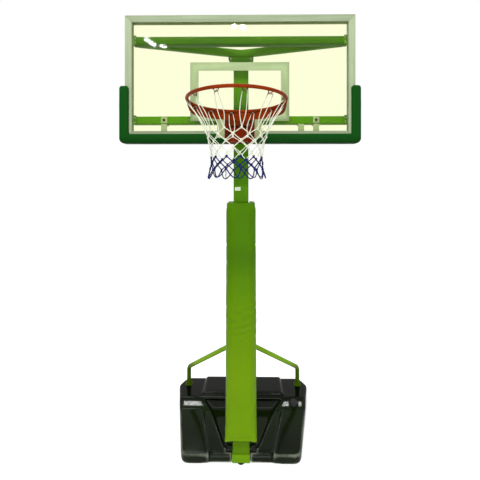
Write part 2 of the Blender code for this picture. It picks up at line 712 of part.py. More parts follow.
def make_tank():
    """The ballast tank: two lobes and a lower middle in front of a raised deck, with a valley to the foot."""
    front = TANK_FRONT - LOBE_FORWARD
    cut_in, cut_back = DECK_CORNER
    widest = TANK_REAR - cut_back

    def side(y):
        share = (y - TANK_FRONT) / (widest - TANK_FRONT)
        return TANK_FRONT_HALF + (TANK_REAR_HALF - TANK_FRONT_HALF) * share

    low = TANK_FLOOR - TRIM
    deck = []
    for start, z in ((DECK_START, DECK_TOP), (DECK_START - DECK_TOP + low, low)):
        for sign in (1, -1):
            deck += [
                (sign * side(start), start, z),
                (sign * TANK_REAR_HALF, widest, z),
                (sign * (TANK_REAR_HALF - cut_in), TANK_REAR - cut_back / 3, z),
                (sign * (TANK_REAR_HALF - 2 * cut_in), TANK_REAR, z),
            ]
    tank = bevel(hull("base_tank", deck), TANK_ROUND)

    ends = ((DECK_START + PANEL_START, 1), (TANK_REAR - PANEL_END, -1))
    panel = [
        (sign * (PANEL_HALF - inset), end + inward * inset, z)
        for sign in (1, -1)
        for inset, z in ((0, DECK_TOP - PANEL_ROOT), (PANEL_DRAFT, DECK_TOP + PANEL_RISE))
        for end, inward in ends
    ]
    join(tank, bevel(hull("deck_panel", panel), TANK_ROUND / 2))

    rear = DECK_START - (DECK_TOP - LOBE_REAR_TOP) + LOBE_REACH
    nose_in, nose_back = LOBE_NOSE
    plan = [
        (LOBE_INSIDE_FRONT, front + nose_back, LOBE_FRONT_TOP),
        (LOBE_INSIDE_FRONT + nose_in, front, LOBE_FRONT_TOP),
        *((TANK_FRONT_HALF - inward, front + back, LOBE_FRONT_TOP) for inward, back in LOBE_CORNER),
        (side(rear), rear, LOBE_REAR_TOP),
        (LOBE_INSIDE_REAR, rear, LOBE_REAR_TOP),
    ]
    for sign, name in ((1, "lobe_right"), (-1, "lobe_left")):
        lobe = [(sign * x, y, z) for x, y, top in plan for z in (TANK_FLOOR - 2 * TRIM, top)]
        join(tank, bevel(hull(name, lobe), TANK_ROUND))

    rear = DECK_START + MIDDLE_REACH
    middle = []
    for sign in (1, -1):
        for x, y, top, forward in (
            (LOBE_INSIDE_FRONT + MIDDLE_UNDER, TANK_FRONT, MIDDLE_FRONT_TOP, SKIRT_FORWARD),
            (LOBE_INSIDE_REAR + MIDDLE_UNDER, rear, MIDDLE_REAR_TOP, 0),
        ):
            middle += [
                (sign * x, y - forward, TANK_FLOOR - 3 * TRIM),
                (sign * x, y - forward, TANK_FLOOR),
                (sign * x, y, top),
            ]
    join(tank, bevel(hull("tank_middle", middle), TANK_ROUND))
    wide = TANK_REAR_HALF + OVERCUT
    cut(tank, tool(box("tank_trim", (-wide, 0, TANK_FLOOR - 5 * TRIM), (wide, 2 * TANK_REAR, TANK_FLOOR))))

    for sign, name in ((1, "foot_pad_right"), (-1, "foot_pad_left")):
        left, right = sorted((sign * FOOT_PAD_INSIDE, sign * FOOT_PAD_OUTSIDE))
        for y, end in ((front + FOOT_PAD_FRONT, "front"), (TANK_REAR - FOOT_PAD_REAR, "rear")):
            join(tank, box(f"{name}_{end}", (left, y, 0), (right, y + FOOT_PAD_LENGTH, TANK_FLOOR + TRIM)))

    slope = (MIDDLE_REAR_TOP - MIDDLE_FRONT_TOP) / (rear - TANK_FRONT)
    valley = []
    for x, y in ((VALLEY_FRONT_HALF, TANK_FRONT + VALLEY_START), (VALLEY_REAR_HALF, DECK_START - VALLEY_END)):
        floor = MIDDLE_FRONT_TOP + slope * (y - TANK_FRONT) - VALLEY_DEPTH
        for sign in (1, -1):
            valley += [
                (sign * x, y, floor),
                (sign * (x + VALLEY_RISE), y + VALLEY_LEAN * VALLEY_RISE, floor + VALLEY_RISE),
            ]
    valley_tool = tool(hull("valley_cutter", valley))
    well_half = FOOT_OUTSIDE + WELL_SIDE
    well_back = POLE_Y + FOOT_OUTSIDE + WELL_BEHIND
    over = 2 * DECK_TOP
    well = tool(box("foot_well", (-well_half, front - OVERCUT, -OVERCUT), (well_half, well_back, over)))
    pockets = tool(box(
        "foot_pockets", (-POCKET_HALF, POCKET_FRONT, POCKET_FLOOR),
        (POCKET_HALF, well_back - POCKET_SHORT, over + OVERCUT),
    ))
    neck_ends = cap_place(OVERCUT), cap_place(-CAP_NECK - GAP)
    neck_hole = tool(rod("cap_neck_hole", CAP_NECK_RADIUS + RUN, *neck_ends))
    cut(tank, valley_tool, well, pockets, TIE_TOOL, neck_hole)
    return part(tank, "tank_plastic")


def cap_place(out):
    """A point on the fill cap's axis, this far out of the step's slanted face."""
    slant = math.sqrt(0.5)
    y = DECK_START - (DECK_TOP - LOBE_REAR_TOP) / 2
    z = (DECK_TOP + LOBE_REAR_TOP) / 2
    return (CAP_OUT, y - slant * out, z + slant * out)


def make_fill_cap():
    """The screw cap of the filling hole, with its six-sided grip and its seal."""
    face = CAP_SEAL + 2 * GAP
    middle = face + CAP_HEIGHT / 2
    top = face + CAP_HEIGHT
    cap = rod("fill_cap", CAP_RADIUS, cap_place(face), cap_place(top))
    neck = rod("cap_neck", CAP_NECK_RADIUS, cap_place(-CAP_NECK), cap_place(middle))
    grip = rod("cap_grip", CAP_GRIP_RADIUS, cap_place(middle), cap_place(top + CAP_GRIP_HEIGHT), sides=6)
    part(join(cap, neck, grip), "black_plastic")
    seal = rod("cap_seal", CAP_RADIUS - CAP_SEAL / 2, cap_place(GAP), cap_place(GAP + CAP_SEAL))
    hole = tool(rod("seal_hole", CAP_NECK_RADIUS + GAP, cap_place(-OVERCUT), cap_place(OVERCUT)))
    part(cut(seal, hole), "rubber")


def make_foot():
    """The square shoe that the pole stands in, its rubber pad and the rod that ties it to the tank."""
    half = FOOT_OUTSIDE
    pocket = OUTER_TUBE / 2 + GAP
    top = FOOT_BOTTOM + FOOT_HEIGHT
    foot = box("pole_foot", (-half, POLE_Y - half, FOOT_BOTTOM), (half, POLE_Y + half, top))
    pocket_tool = tool(box(
        "foot_pocket", (-pocket, POLE_Y - pocket, FOOT_BOTTOM + FOOT_FLOOR),
        (pocket, POLE_Y + pocket, top + OVERCUT),
    ))
    cut(foot, pocket_tool, TIE_TOOL)
    part(foot, "bright_green_paint")
    y = POLE_Y - PAD_FOOT_FORWARD
    part(rod("foot_pad", PAD_FOOT_RADIUS, (0, y, 0), (0, y, PAD_FOOT_HEIGHT - GAP)), "rubber")
    tie_ends = (-TIE_HALF, POLE_Y, ROD_HEIGHT), (TIE_HALF, POLE_Y, ROD_HEIGHT)
    tie = rod("tie_rod", TIE_RADIUS, *tie_ends, sides=16)
    part(tie, "black_steel")


def make_lower_pole():
    """The outer tube, the collar in its mouth and the plate that the mast stops on."""
    middle = (0, POLE_Y)
    pole = square_tube("lower_pole", OUTER_TUBE / 2, TUBE_WALL, "z", middle, POLE_BOTTOM, OUTER_TOP)
    screw_hole = tool(rod(
        "screw_hole", CLAMP_SCREW_RADIUS + 2 * RUN,
        (0, POLE_BACK - 2 * TUBE_WALL, CLAMP_HEIGHT), (0, POLE_BACK + TUBE_WALL, CLAMP_HEIGHT), sides=16,
    ))
    part(cut(pole, screw_hole, TIE_TOOL), "bright_green_paint")

    inside, outside = INNER_TUBE / 2 + RUN, BORE - GAP
    low, top = OUTER_TOP - COLLAR_SLEEVE, OUTER_TOP + COLLAR_FLANGE
    collar = square_tube("pole_collar", outside, outside - inside, "z", middle, low, top, BORE_CORNER)
    half = OUTER_TUBE / 2
    near = OUTER_TOP + GAP
    flange = square_tube("collar_flange", half, half - inside, "z", middle, near, top, POLE_CORNER)
    # The clamp screw passes below the sleeve, so the sleeve is notched behind.
    notch = tool(box(
        "collar_notch", (-COLLAR_NOTCH_HALF, POLE_Y, low - OVERCUT),
        (COLLAR_NOTCH_HALF, POLE_BACK, CLAMP_HEIGHT + COLLAR_NOTCH_RISE),
    ))
    part(cut(join(collar, flange), notch), "black_plastic")

    stop_top = INNER_BOTTOM - SHOE_FLANGE - 2 * GAP
    part(square_block("stop_plate", BORE - GAP, BORE_CORNER, stop_top - STOP_THICK, stop_top), "zinc")


def make_inner_tube():
    """The mast's inner tube, its cap and the shoe that guides its foot."""
    half = INNER_TUBE / 2
    mast_tube = square_tube("upper_pole", half, TUBE_WALL, "z", (0, POLE_Y), INNER_BOTTOM, MAST_TOP)
    part(mast_tube, "green_paint", MAST_AXIS)
    inside = half - TUBE_WALL - GAP
    cap = square_block("mast_cap", inside, BORE_CORNER, MAST_TOP - CAP_PLUG, MAST_TOP + CAP_THICK / 2)
    lid = square_block("cap_lid", half, POLE_CORNER, MAST_TOP + GAP, MAST_TOP + CAP_THICK)
    part(join(cap, lid), "black_plastic", MAST_AXIS)
    top = INNER_BOTTOM - GAP
    shoe = square_block("guide_shoe", BORE - RUN, BORE_CORNER, top - SHOE_FLANGE, top)
    plug = square_block("shoe_plug", inside, BORE_CORNER, top - SHOE_FLANGE / 2, INNER_BOTTOM + SHOE_PLUG)
    part(join(shoe, plug), "black_plastic", MAST_AXIS)


def make_head():
    """The plate that the arms are welded to, and the clamping plate bolted to it behind the mast."""
    bottom = UPPER_BEAM_Z - BEAM / 2 - HEAD_DROP
    top = UPPER_BEAM_Z + BEAM / 2
    wide, narrow = HEAD_WIDTH / 2, HEAD_EAR_WIDTH / 2
    shoulder = UPPER_BEAM_Z - BEAM / 2
    corners = [
        (-narrow, bottom), (narrow, bottom), (narrow, shoulder), (wide, shoulder + HEAD_SHOULDER),
        (wide, top), (-wide, top), (-wide, shoulder + HEAD_SHOULDER), (-narrow, shoulder),
    ]
    radii = [HEAD_CORNER, HEAD_CORNER, 0, 0, 0, 0, 0, 0]
    bolt_z = bottom + HEAD_BOLT_RISE
    holes = [circle((sign * HEAD_BOLT_OUT, bolt_z), HEAD_BOLT + GAP, 16) for sign in (1, -1)]
    front = plate("head_plate", "y", [rounded(corners, radii), *holes], HEAD_FRONT, INNER_FRONT - GAP)
    part(front, "green_paint", MAST_AXIS)
    outline = rounded(rectangle((-narrow, bottom), (narrow, top)), [HEAD_CORNER] * 4)
    rear = plate("head_clamp", "y", [outline, *holes], INNER_BACK + GAP, HEAD_BACK)
    part(rear, "green_paint", MAST_AXIS)
    for sign, side in ((-1, "left"), (1, "right")):
        x = sign * HEAD_BOLT_OUT
        near = HEAD_FRONT - GAP
        far = HEAD_BACK + GAP
        shank = (x, near - BOLT_HEAD_HEIGHT / 2, bolt_z), (x, far + BOLT_END, bolt_z)
        bolt = rod(f"head_bolt_{side}", HEAD_BOLT, *shank, sides=16)
        head_ends = (x, near - BOLT_HEAD_HEIGHT, bolt_z), (x, near, bolt_z)
        head = rod(f"bolt_head_{side}", BOLT_HEAD_RADIUS, *head_ends, sides=6)
        nut_ends = (x, far, bolt_z), (x, far + NUT_HEIGHT, bolt_z)
        nut = rod(f"bolt_nut_{side}", BOLT_HEAD_RADIUS, *nut_ends, sides=6)
        part(join(bolt, head, nut), "zinc", MAST_AXIS)


def arm_solid(name, sign, wall, over):
    """An arm's slanted bar, this wall inside its outer faces and this far past both of its seats."""
    near, far = BEAM_BACK + GAP, HEAD_FRONT - GAP
    run = (ARM_HEAD - ARM_FOOT) / (far - near)
    stretch = math.hypot(1, run)
    corners = []
    for y in (near - over, far + over):
        inner = ARM_FOOT + run * (y - near)
        corners += [(inner + wall * stretch, y), (inner + (ARM_WIDTH - wall) * stretch, y)]
    heights = (UPPER_BEAM_Z - BEAM / 2 + wall, UPPER_BEAM_Z + BEAM / 2 - wall)
    return hull(name, [(sign * x, y, z) for x, y in corners for z in heights])


def make_arms():
    """The two slanted tubes from the upper beam to the head plate."""
    for sign, side in ((-1, "left"), (1, "right")):
        arm = arm_solid(f"arm_{side}", sign, 0, 0)
        bore = tool(arm_solid(f"arm_bore_{side}", sign, ARM_WALL, 2 * ARM_WIDTH))
        part(cut(arm, bore), "green_paint", MAST_AXIS)


def make_beams():
    """The two beams behind the board, with a plate at each end that the frame is fixed to."""
    half = BEAM / 2
    middle = BEAM_FRONT + half
    for name, z in (("lower_beam", LOWER_BEAM_Z), ("upper_beam", UPPER_BEAM_Z)):
        beam = square_tube(name, half, BEAM_WALL, "x", (middle, z), -BEAM_LENGTH / 2, BEAM_LENGTH / 2)
        if name == "lower_beam":
            drills = []
            for side in ("left", "right"):
                x = BRACKET_PLACES[side]
                ends = (x, BEAM_FRONT - OVERCUT, z), (x, BEAM_BACK + OVERCUT, z)
                drills.append(rod(f"beam_hole_{side}", BEAM_BOLT_RADIUS + GAP, *ends, sides=16))
            cut(beam, together("beam_bolt_holes", drills), HIGH_BOLT_TOOL)
        part(beam, "green_paint", MAST_AXIS)
        for sign, side in ((-1, "left"), (1, "right")):
            x = sign * (BEAM_LENGTH / 2 - END_PLATE_WIDTH / 2 + END_PLATE_OVER)
            wide, tall = END_PLATE_WIDTH / 2, END_PLATE_HEIGHT / 2
            corners = rectangle((x - wide, z - tall), (x + wide, z + tall))
            outline = rounded(corners, [END_PLATE_CORNER] * 4, 2)
            near = RAIL_DEPTH + GAP
            end = plate(f"{name}_end_{side}", "y", [outline], near, near + END_PLATE_THICK)
            part(end, "green_paint", MAST_AXIS)


def make_beam_bolts():
    """A square washer, its bolt through the lower beam and the nut, at each outer rail bracket."""
    z = LOWER_BEAM_Z
    half = WASHER_SIDE / 2
    for side in ("left", "right"):
        x = BRACKET_PLACES[side]
        near, far = BEAM_FRONT - GAP, BEAM_BACK + GAP
        front = near - WASHER_PLATE
        bolt = box(f"beam_bolt_{side}", (x - half, front, z - half), (x + half, near, z + half))
        shank_ends = (x, front + WASHER_PLATE / 2, z), (x, far + BOLT_END, z)
        shank = rod(f"beam_shank_{side}", BEAM_BOLT_RADIUS, *shank_ends, sides=16)
        head_ends = (x, front - BEAM_BOLT_HEAD, z), (x, front + WASHER_PLATE / 3, z)
        head = rod(f"beam_bolt_head_{side}", 2 * BEAM_BOLT_RADIUS, *head_ends, sides=6)
        nut = rod(f"beam_nut_{side}", 2 * BEAM_BOLT_RADIUS, (x, far, z), (x, far + BEAM_NUT, z), sides=6)
        part(join(bolt, shank, head, nut), "grey_paint", MAST_AXIS)


def make_spacer():
    """The box between the lower beam and the mast, with the flange that clamps it there."""
    wide, tall = SPACER_WIDTH / 2, SPACER_HEIGHT / 2
    z = LOWER_BEAM_Z
    far = INNER_FRONT - GAP

    def section(inset, corner):
        low, high = (-wide + inset, z - tall + inset), (wide - inset, z + tall - inset)
        return rounded(rectangle(low, high), [corner] * 4, 3)

    corner = TUBE_CORNER * SPACER_WALL
    outlines = [section(0, corner), section(SPACER_WALL, corner - SPACER_WALL)]
    spacer = plate("lower_spacer", "y", outlines, BEAM_BACK + GAP, far - SPACER_FLANGE / 2)
    half = INNER_TUBE / 2
    ears = rectangle((-half, z - tall - SPACER_EARS), (half, z + tall + SPACER_EARS))
    opening = section(SPACER_WALL + SPACER_LEDGE, corner - SPACER_WALL)
    flange = plate("spacer_flange", "y", [ears, opening], far - SPACER_FLANGE, far)
    part(join(spacer, flange), "green_paint", MAST_AXIS)


def make_rail_brackets():
    """Angles under the lower beam that hold the bottom rail."""
    front = RAIL_DEPTH + GAP
    back = BEAM_BACK - BRACKET_SHORT
    top = LOWER_BEAM_Z - BEAM / 2 - GAP
    bottom = BOARD_BOTTOM + RAIL_FACE - BRACKET_LAP
    corners = [
        (front, bottom), (front + BRACKET_THICK, bottom), (front + BRACKET_THICK, top - BRACKET_THICK),
        (back, top - BRACKET_THICK), (back, top), (front, top),
    ]
    for side, x in BRACKET_PLACES.items():
        bracket = plate(f"rail_bracket_{side}", "x", [corners], x - BRACKET_WIDTH / 2, x + BRACKET_WIDTH / 2)
        part(bracket, "grey_paint", MAST_AXIS)


def rail_section():
    """A rail's section: across from the board's opening outwards, then back from its face."""
    wall, bite = RAIL_WALL, PANE_BITE + 2 * GAP + GASKET_THICK
    outside = [(0, 0), (RAIL_FACE, 0), (RAIL_FACE, RAIL_DEPTH), (0, RAIL_DEPTH),
               (0, GROOVE_BACK), (bite, GROOVE_BACK), (bite, wall), (0, wall)]
    hollow = rectangle((bite + wall, wall), (RAIL_FACE - wall, RAIL_DEPTH - wall))
    return [outside, hollow]


def make_rails():
    inner_width = BOARD_WIDTH - 2 * RAIL_FACE
    inner_height = BOARD_HEIGHT - 2 * RAIL_FACE
    middle_z = (BOARD_BOTTOM + BOARD_TOP) / 2
    places = (
        ("rail_bottom", inner_width, -90, (0, BOARD_BOTTOM + RAIL_FACE)),
        ("rail_top", inner_width, 90, (0, BOARD_TOP - RAIL_FACE)),
        ("rail_left", inner_height, 180, (-inner_width / 2, middle_z)),
        ("rail_right", inner_height, 0, (inner_width / 2, middle_z)),
    )
    for name, length, turn, (x, z) in places:
        rail = plate(name, "z", rail_section(), -length / 2, length / 2)
        rail.matrix_world = Matrix.Identity(4)
        for vertex in rail.data.vertices:
            # Mitred ends: the outer side of the rail is longer by its face at each end.
            half = length / 2 + vertex.co.x - GAP / 2
            vertex.co.z = math.copysign(half, vertex.co.z)
        rail.matrix_world = Matrix.Translation(spot(x, 0, z)) @ Matrix.Rotation(math.radians(-turn), 4, "Y")
        if name == "rail_bottom":
            cut(rail, LOW_BOLT_TOOL)
        part(rail, "frame_aluminium", MAST_AXIS)


def make_pane():
    """The clear pane, the gasket round its edge and the painted square on its front."""
    half_width = BOARD_WIDTH / 2 - RAIL_FACE + PANE_BITE
    low, high = BOARD_BOTTOM + RAIL_FACE - PANE_BITE, BOARD_TOP - RAIL_FACE + PANE_BITE
    pane = box("glass_pane", (-half_width, PANE_FRONT, low), (half_width, PANE_BACK, high))
    part(cut(pane, HIGH_BOLT_TOOL), "pane_glass", MAST_AXIS)

    out = GAP + GASKET_THICK
    inward = PANE_BITE + GASKET_LIP
    gasket = plate("glazing_gasket", "y", [
        rectangle((-half_width - out, low - out), (half_width + out, high + out)),
        rectangle((-half_width + inward, low + inward), (half_width - inward, high - inward)),
    ], RAIL_WALL + GAP, GROOVE_BACK - GAP)
    seat = tool(box(
        "pane_seat", (-half_width - GAP, PANE_FRONT - GAP, low - GAP),
        (half_width + GAP, PANE_BACK + GAP, high + GAP),
    ))
    part(cut(gasket, seat), "rubber", MAST_AXIS)

    wide = SQUARE_WIDTH / 2
    bottom = BOARD_BOTTOM + SQUARE_RISE
    top = bottom + SQUARE_HEIGHT
    line = SQUARE_LINE
    lines = plate("target_square", "y", [
        rectangle((-wide, bottom), (wide, top)),
        rectangle((-wide + line, bottom + line), (wide - line, top - line)),
    ], PANE_FRONT - GAP - SQUARE_THICK, PANE_FRONT - GAP)
    part(cut(lines, HIGH_BOLT_TOOL), "square_paint", MAST_AXIS)


def make_edge_padding():
    """The U-shaped padding round the lower edge: it grips the rails in front, outside and behind."""
    out = BOARD_WIDTH / 2 + EDGE_PAD_OUT
    inner = BOARD_WIDTH / 2 - EDGE_PAD_LAP
    bottom = BOARD_BOTTOM - EDGE_PAD_OUT
    floor = BOARD_BOTTOM + EDGE_PAD_LAP
    top = BOARD_BOTTOM + EDGE_PAD_RISE
    corners = [
        (-out, top), (-out, bottom), (out, bottom), (out, top),
        (inner, top), (inner, floor), (-inner, floor), (-inner, top),
    ]
    tip, corner, inside = EDGE_PAD_LAP, EDGE_PAD_CORNER, EDGE_PAD_INNER_CORNER
    radii = [tip, corner, corner, tip, tip * 0.7, inside, inside, tip * 0.7]
    back_face = RAIL_DEPTH + GAP + EDGE_PAD_BACK
    pad = plate("board_padding", "y", [rounded(corners, radii)], -EDGE_PAD_FRONT, back_face)
    weld = pad.modifiers.new("weld", "WELD")
    weld.merge_threshold = 0.00001
    bevel(pad, EDGE_PAD_ROUND, 3, 50)
    half = BOARD_WIDTH / 2 + GAP
    slot = tool(box("board_slot", (-half, -GAP, BOARD_BOTTOM - GAP), (half, RAIL_DEPTH + GAP, BOARD_TOP)))
    lap = BOARD_WIDTH / 2 - EDGE_PAD_BACK_LAP
    opening_floor = BOARD_BOTTOM + EDGE_PAD_BACK_LAP
    opening = (-lap, RAIL_DEPTH / 2, opening_floor), (lap, back_face + OVERCUT, BOARD_TOP)
    back = tool(box("back_opening", *opening))
    front = -EDGE_PAD_FRONT - OVERCUT
    wide = MOUNT_WIDTH / 2 + EDGE_PAD_NOTCH
    low, high = (-wide, front, BOARD_BOTTOM - EDGE_PAD_NOTCH), (wide, RAIL_DEPTH / 2, BOARD_TOP)
    notch = tool(box("mount_notch", low, high))
    wide = HOUSING_WIDTH / 2 + EDGE_PAD_HOUSING_NOTCH
    low, high = (-wide, front, bottom - OVERCUT), (wide, MOUNT_FRONT, floor + OVERCUT)
    housing_notch = tool(box("housing_notch", low, high))
    part(cut(pad, slot, back, notch, housing_notch), "edge_pad_foam", MAST_AXIS)


def make_rim_mount():
    """The rim's mounting plate, and its housing: two cheeks, the spring's shelf and a bent cover."""
    half = MOUNT_WIDTH / 2
    outline = rectangle((-half, BOARD_BOTTOM), (half, BOARD_BOTTOM + MOUNT_TOP))
    mount = plate("rim_mount_plate", "y", [rounded(outline, [MOUNT_CORNER] * 4, 2)], MOUNT_FRONT, -GAP)
    part(cut(mount, LOW_BOLT_TOOL, HIGH_BOLT_TOOL), "grey_paint", MAST_AXIS)

    half = HOUSING_WIDTH / 2
    top = HOUSING_BOTTOM + HOUSING_HEIGHT
    radii = [HOUSING_CORNER, HOUSING_CORNER, HOUSING_TOP_CORNER, HOUSING_TOP_CORNER]
    outline = rounded(rectangle((-half, HOUSING_BOTTOM), (half, top)), radii, 3)
    housing = plate("rim_housing", "y", [outline], HOUSING_FRONT, HOUSING_BACK)
    near = HOUSING_FRONT + HOUSING_THICK / 2
    inside = NECK_WIDTH / 2 + RUN
    outside = inside + CHEEK_THICK
    toe_y, toe_z = PIVOT_Y + COVER_BACK, HOUSING_BOTTOM + COVER_RISE
    cheek = rounded([
        (near, top - CHEEK_DROP), (PIVOT_Y + CHEEK_SHOULDER, PIVOT_Z + PIVOT_EYE),
        (PIVOT_Y - PIVOT_EYE, PIVOT_Z + PIVOT_EYE), (PIVOT_Y - PIVOT_EYE, PIVOT_Z - PIVOT_EYE),
        (toe_y, toe_z), (near, toe_z),
    ], [0, SHELF_START, PIVOT_EYE * 0.9, PIVOT_EYE * 0.5, CHEEK_TOE, 0])
    for sign, side in ((-1, "left"), (1, "right")):
        join(housing, plate(f"cheek_{side}", "x", [cheek], sign * inside, sign * outside))
    wide = inside + CHEEK_THICK / 2
    join(housing, box("shelf", (-wide, PIVOT_Y + SHELF_START, SHELF_BOTTOM), (wide, near, SHELF_TOP)))

    forward, drop = COVER_LIP
    lip_y, lip_z = PIVOT_Y - forward, PIVOT_Z - PIVOT_EYE - drop
    bend_y, bend_z = toe_y + 2 * COVER_INSET, toe_z + COVER_INSET
    end = near - COVER_INSET
    skin = COVER_THICK
    cover = plate("housing_cover", "x", [[
        (lip_y, lip_z), (bend_y, bend_z), (end, bend_z),
        (end, bend_z + skin), (bend_y + skin, bend_z + skin), (lip_y + skin, lip_z),
    ]], -wide + COVER_INSET, wide - COVER_INSET)
    join(housing, cover)
    below, above = (0, SPRING_BOLT_Y, HOUSING_BOTTOM - OVERCUT), (0, SPRING_BOLT_Y, toe_z + 2 * skin)
    wrench_hole = tool(rod("wrench_hole", NUT_RADIUS + WRENCH_CLEAR, below, above, sides=20))
    clear = SPRING_BOLT_RADIUS + SLOT_CLEAR
    slot = tool(box(
        "bolt_slot", (-clear, SPRING_BOLT_Y - clear, SHELF_BOTTOM - OVERCUT),
        (clear, SPRING_BOLT_Y + clear + SLOT_BACK, SHELF_TOP + OVERCUT),
    ))
    reach = outside + OVERCUT
    pin_ends = (-reach, PIVOT_Y, PIVOT_Z), (reach, PIVOT_Y, PIVOT_Z)
    pin_hole = tool(rod("pin_hole", PIVOT_RADIUS + RUN, *pin_ends, sides=20))
    cut(housing, slot, pin_hole, wrench_hole, LOW_BOLT_TOOL, HIGH_BOLT_TOOL)
    part(housing, "rim_paint", MAST_AXIS)


def make_pivot_pin():
    """The pin that the rim's neck turns on, with its head and its clip outside the cheeks."""
    outside = NECK_WIDTH / 2 + RUN + CHEEK_THICK

    def across(name, radius, start, end):
        return rod(name, radius, (start, PIVOT_Y, PIVOT_Z), (end, PIVOT_Y, PIVOT_Z), sides=20)

    pin = across("pivot_pin", PIVOT_RADIUS, -outside - PIN_END, outside + PIN_END)
    head = across("pin_head", PIVOT_RADIUS * 1.7, outside + GAP, outside + PIN_HEAD)
    clip = across("pin_clip", PIVOT_RADIUS * 1.5, -outside - PIN_CLIP, -outside - GAP)
    part(join(pin, head, clip), "zinc", MAST_AXIS)


def make_rim_bolts():
    """The bolts that hold the housing: the high ones pass the pane and the lower beam and have nuts."""
    near, back = HOUSING_FRONT - GAP, BEAM_BACK + GAP
    for row, side, x, z in bolt_places():
        name = f"{row}_{side}"
        end = back + BOLT_END if row == "high" else RAIL_WALL + RIM_BOLT_PAST
        start = (x, near - BOLT_HEAD_HEIGHT / 2, z)
        bolt = rod(f"rim_bolt_{name}", RIM_BOLT_RADIUS, start, (x, end, z), sides=16)
        head_ends = (x, near - BOLT_HEAD_HEIGHT, z), (x, near, z)
        join(bolt, rod(f"rim_bolt_head_{name}", BOLT_HEAD_RADIUS, *head_ends, sides=6))
        if row == "high":
            nut_ends = (x, back, z), (x, back + NUT_HEIGHT, z)
            join(bolt, rod(f"rim_bolt_nut_{name}", BOLT_HEAD_RADIUS, *nut_ends, sides=6))
        part(bolt, "black_steel", MAST_AXIS)


def ring_point(angle, radius, z):
    """A point at this angle round the ring, counted from the front."""
    return (radius * math.sin(angle), RING_Y - radius * math.cos(angle), z)


def make_band():
    """The band under the back half of the ring, tapered at its ends."""
    rings = []
    steps = 32
    half = BAND_THICK / 2
    for step in range(steps + 1):
        degrees = -BAND_END + 2 * BAND_END * step / steps
        angle = math.radians(180 + degrees)
        share = min(1.0, (BAND_END - abs(degrees)) / (BAND_END - BAND_FULL))
        height = BAND_HEIGHT * (BAND_TIP + (1 - BAND_TIP) * math.sin(share * math.pi / 2))
        rings.append([
            ring_point(angle, BAND_RADIUS - half, RIM_HEIGHT),
            ring_point(angle, BAND_RADIUS + half, RIM_HEIGHT),
            ring_point(angle, BAND_RADIUS + half, RIM_HEIGHT - height),
            ring_point(angle, BAND_RADIUS - half, RIM_HEIGHT - height),
        ])
    return loft("support_band", rings)


def make_hook(number):
    """One U of wire under the ring, along it."""
    angle = math.radians(HOOK_TURN + 360 / HOOKS * number)
    root = RIM_HEIGHT - HOOK_ROOT
    outline = [
        (-HOOK_WIDTH / 2, HOOK_ROOT, root), (-HOOK_BAR / 2, 0, HOOK_Z),
        (HOOK_BAR / 2, 0, HOOK_Z), (HOOK_WIDTH / 2, HOOK_ROOT, root),
    ]
    points = []
    for along, out, z in outline:
        x, y, _ = ring_point(angle, HOOK_RADIUS + out, z)
        points.append((x + along * math.cos(angle), y + along * math.sin(angle), z))
    return tube(f"hook_{number}", points, HOOK_WIRE, 1)


def make_ring():
    """The ring's round bar."""
    builder = bmesh.new()
    rows = []
    for k in range(RING_STEPS):
        angle = 2 * math.pi * k / RING_STEPS
        row = []
        for side in range(ROD_SIDES):
            turn = 2 * math.pi * side / ROD_SIDES
            radius = RING_RADIUS + ROD_RADIUS * math.cos(turn)
            height = RIM_HEIGHT + ROD_RADIUS * math.sin(turn)
            row.append(builder.verts.new(spot(*ring_point(angle, radius, height))))
        rows.append(row)
    for k in range(RING_STEPS):
        low, high = rows[k], rows[(k + 1) % RING_STEPS]
        for side in range(ROD_SIDES):
            after = (side + 1) % ROD_SIDES
            builder.faces.new((low[side], low[after], high[after], high[side]))
    return mesh_object("rim", builder, smooth=True)


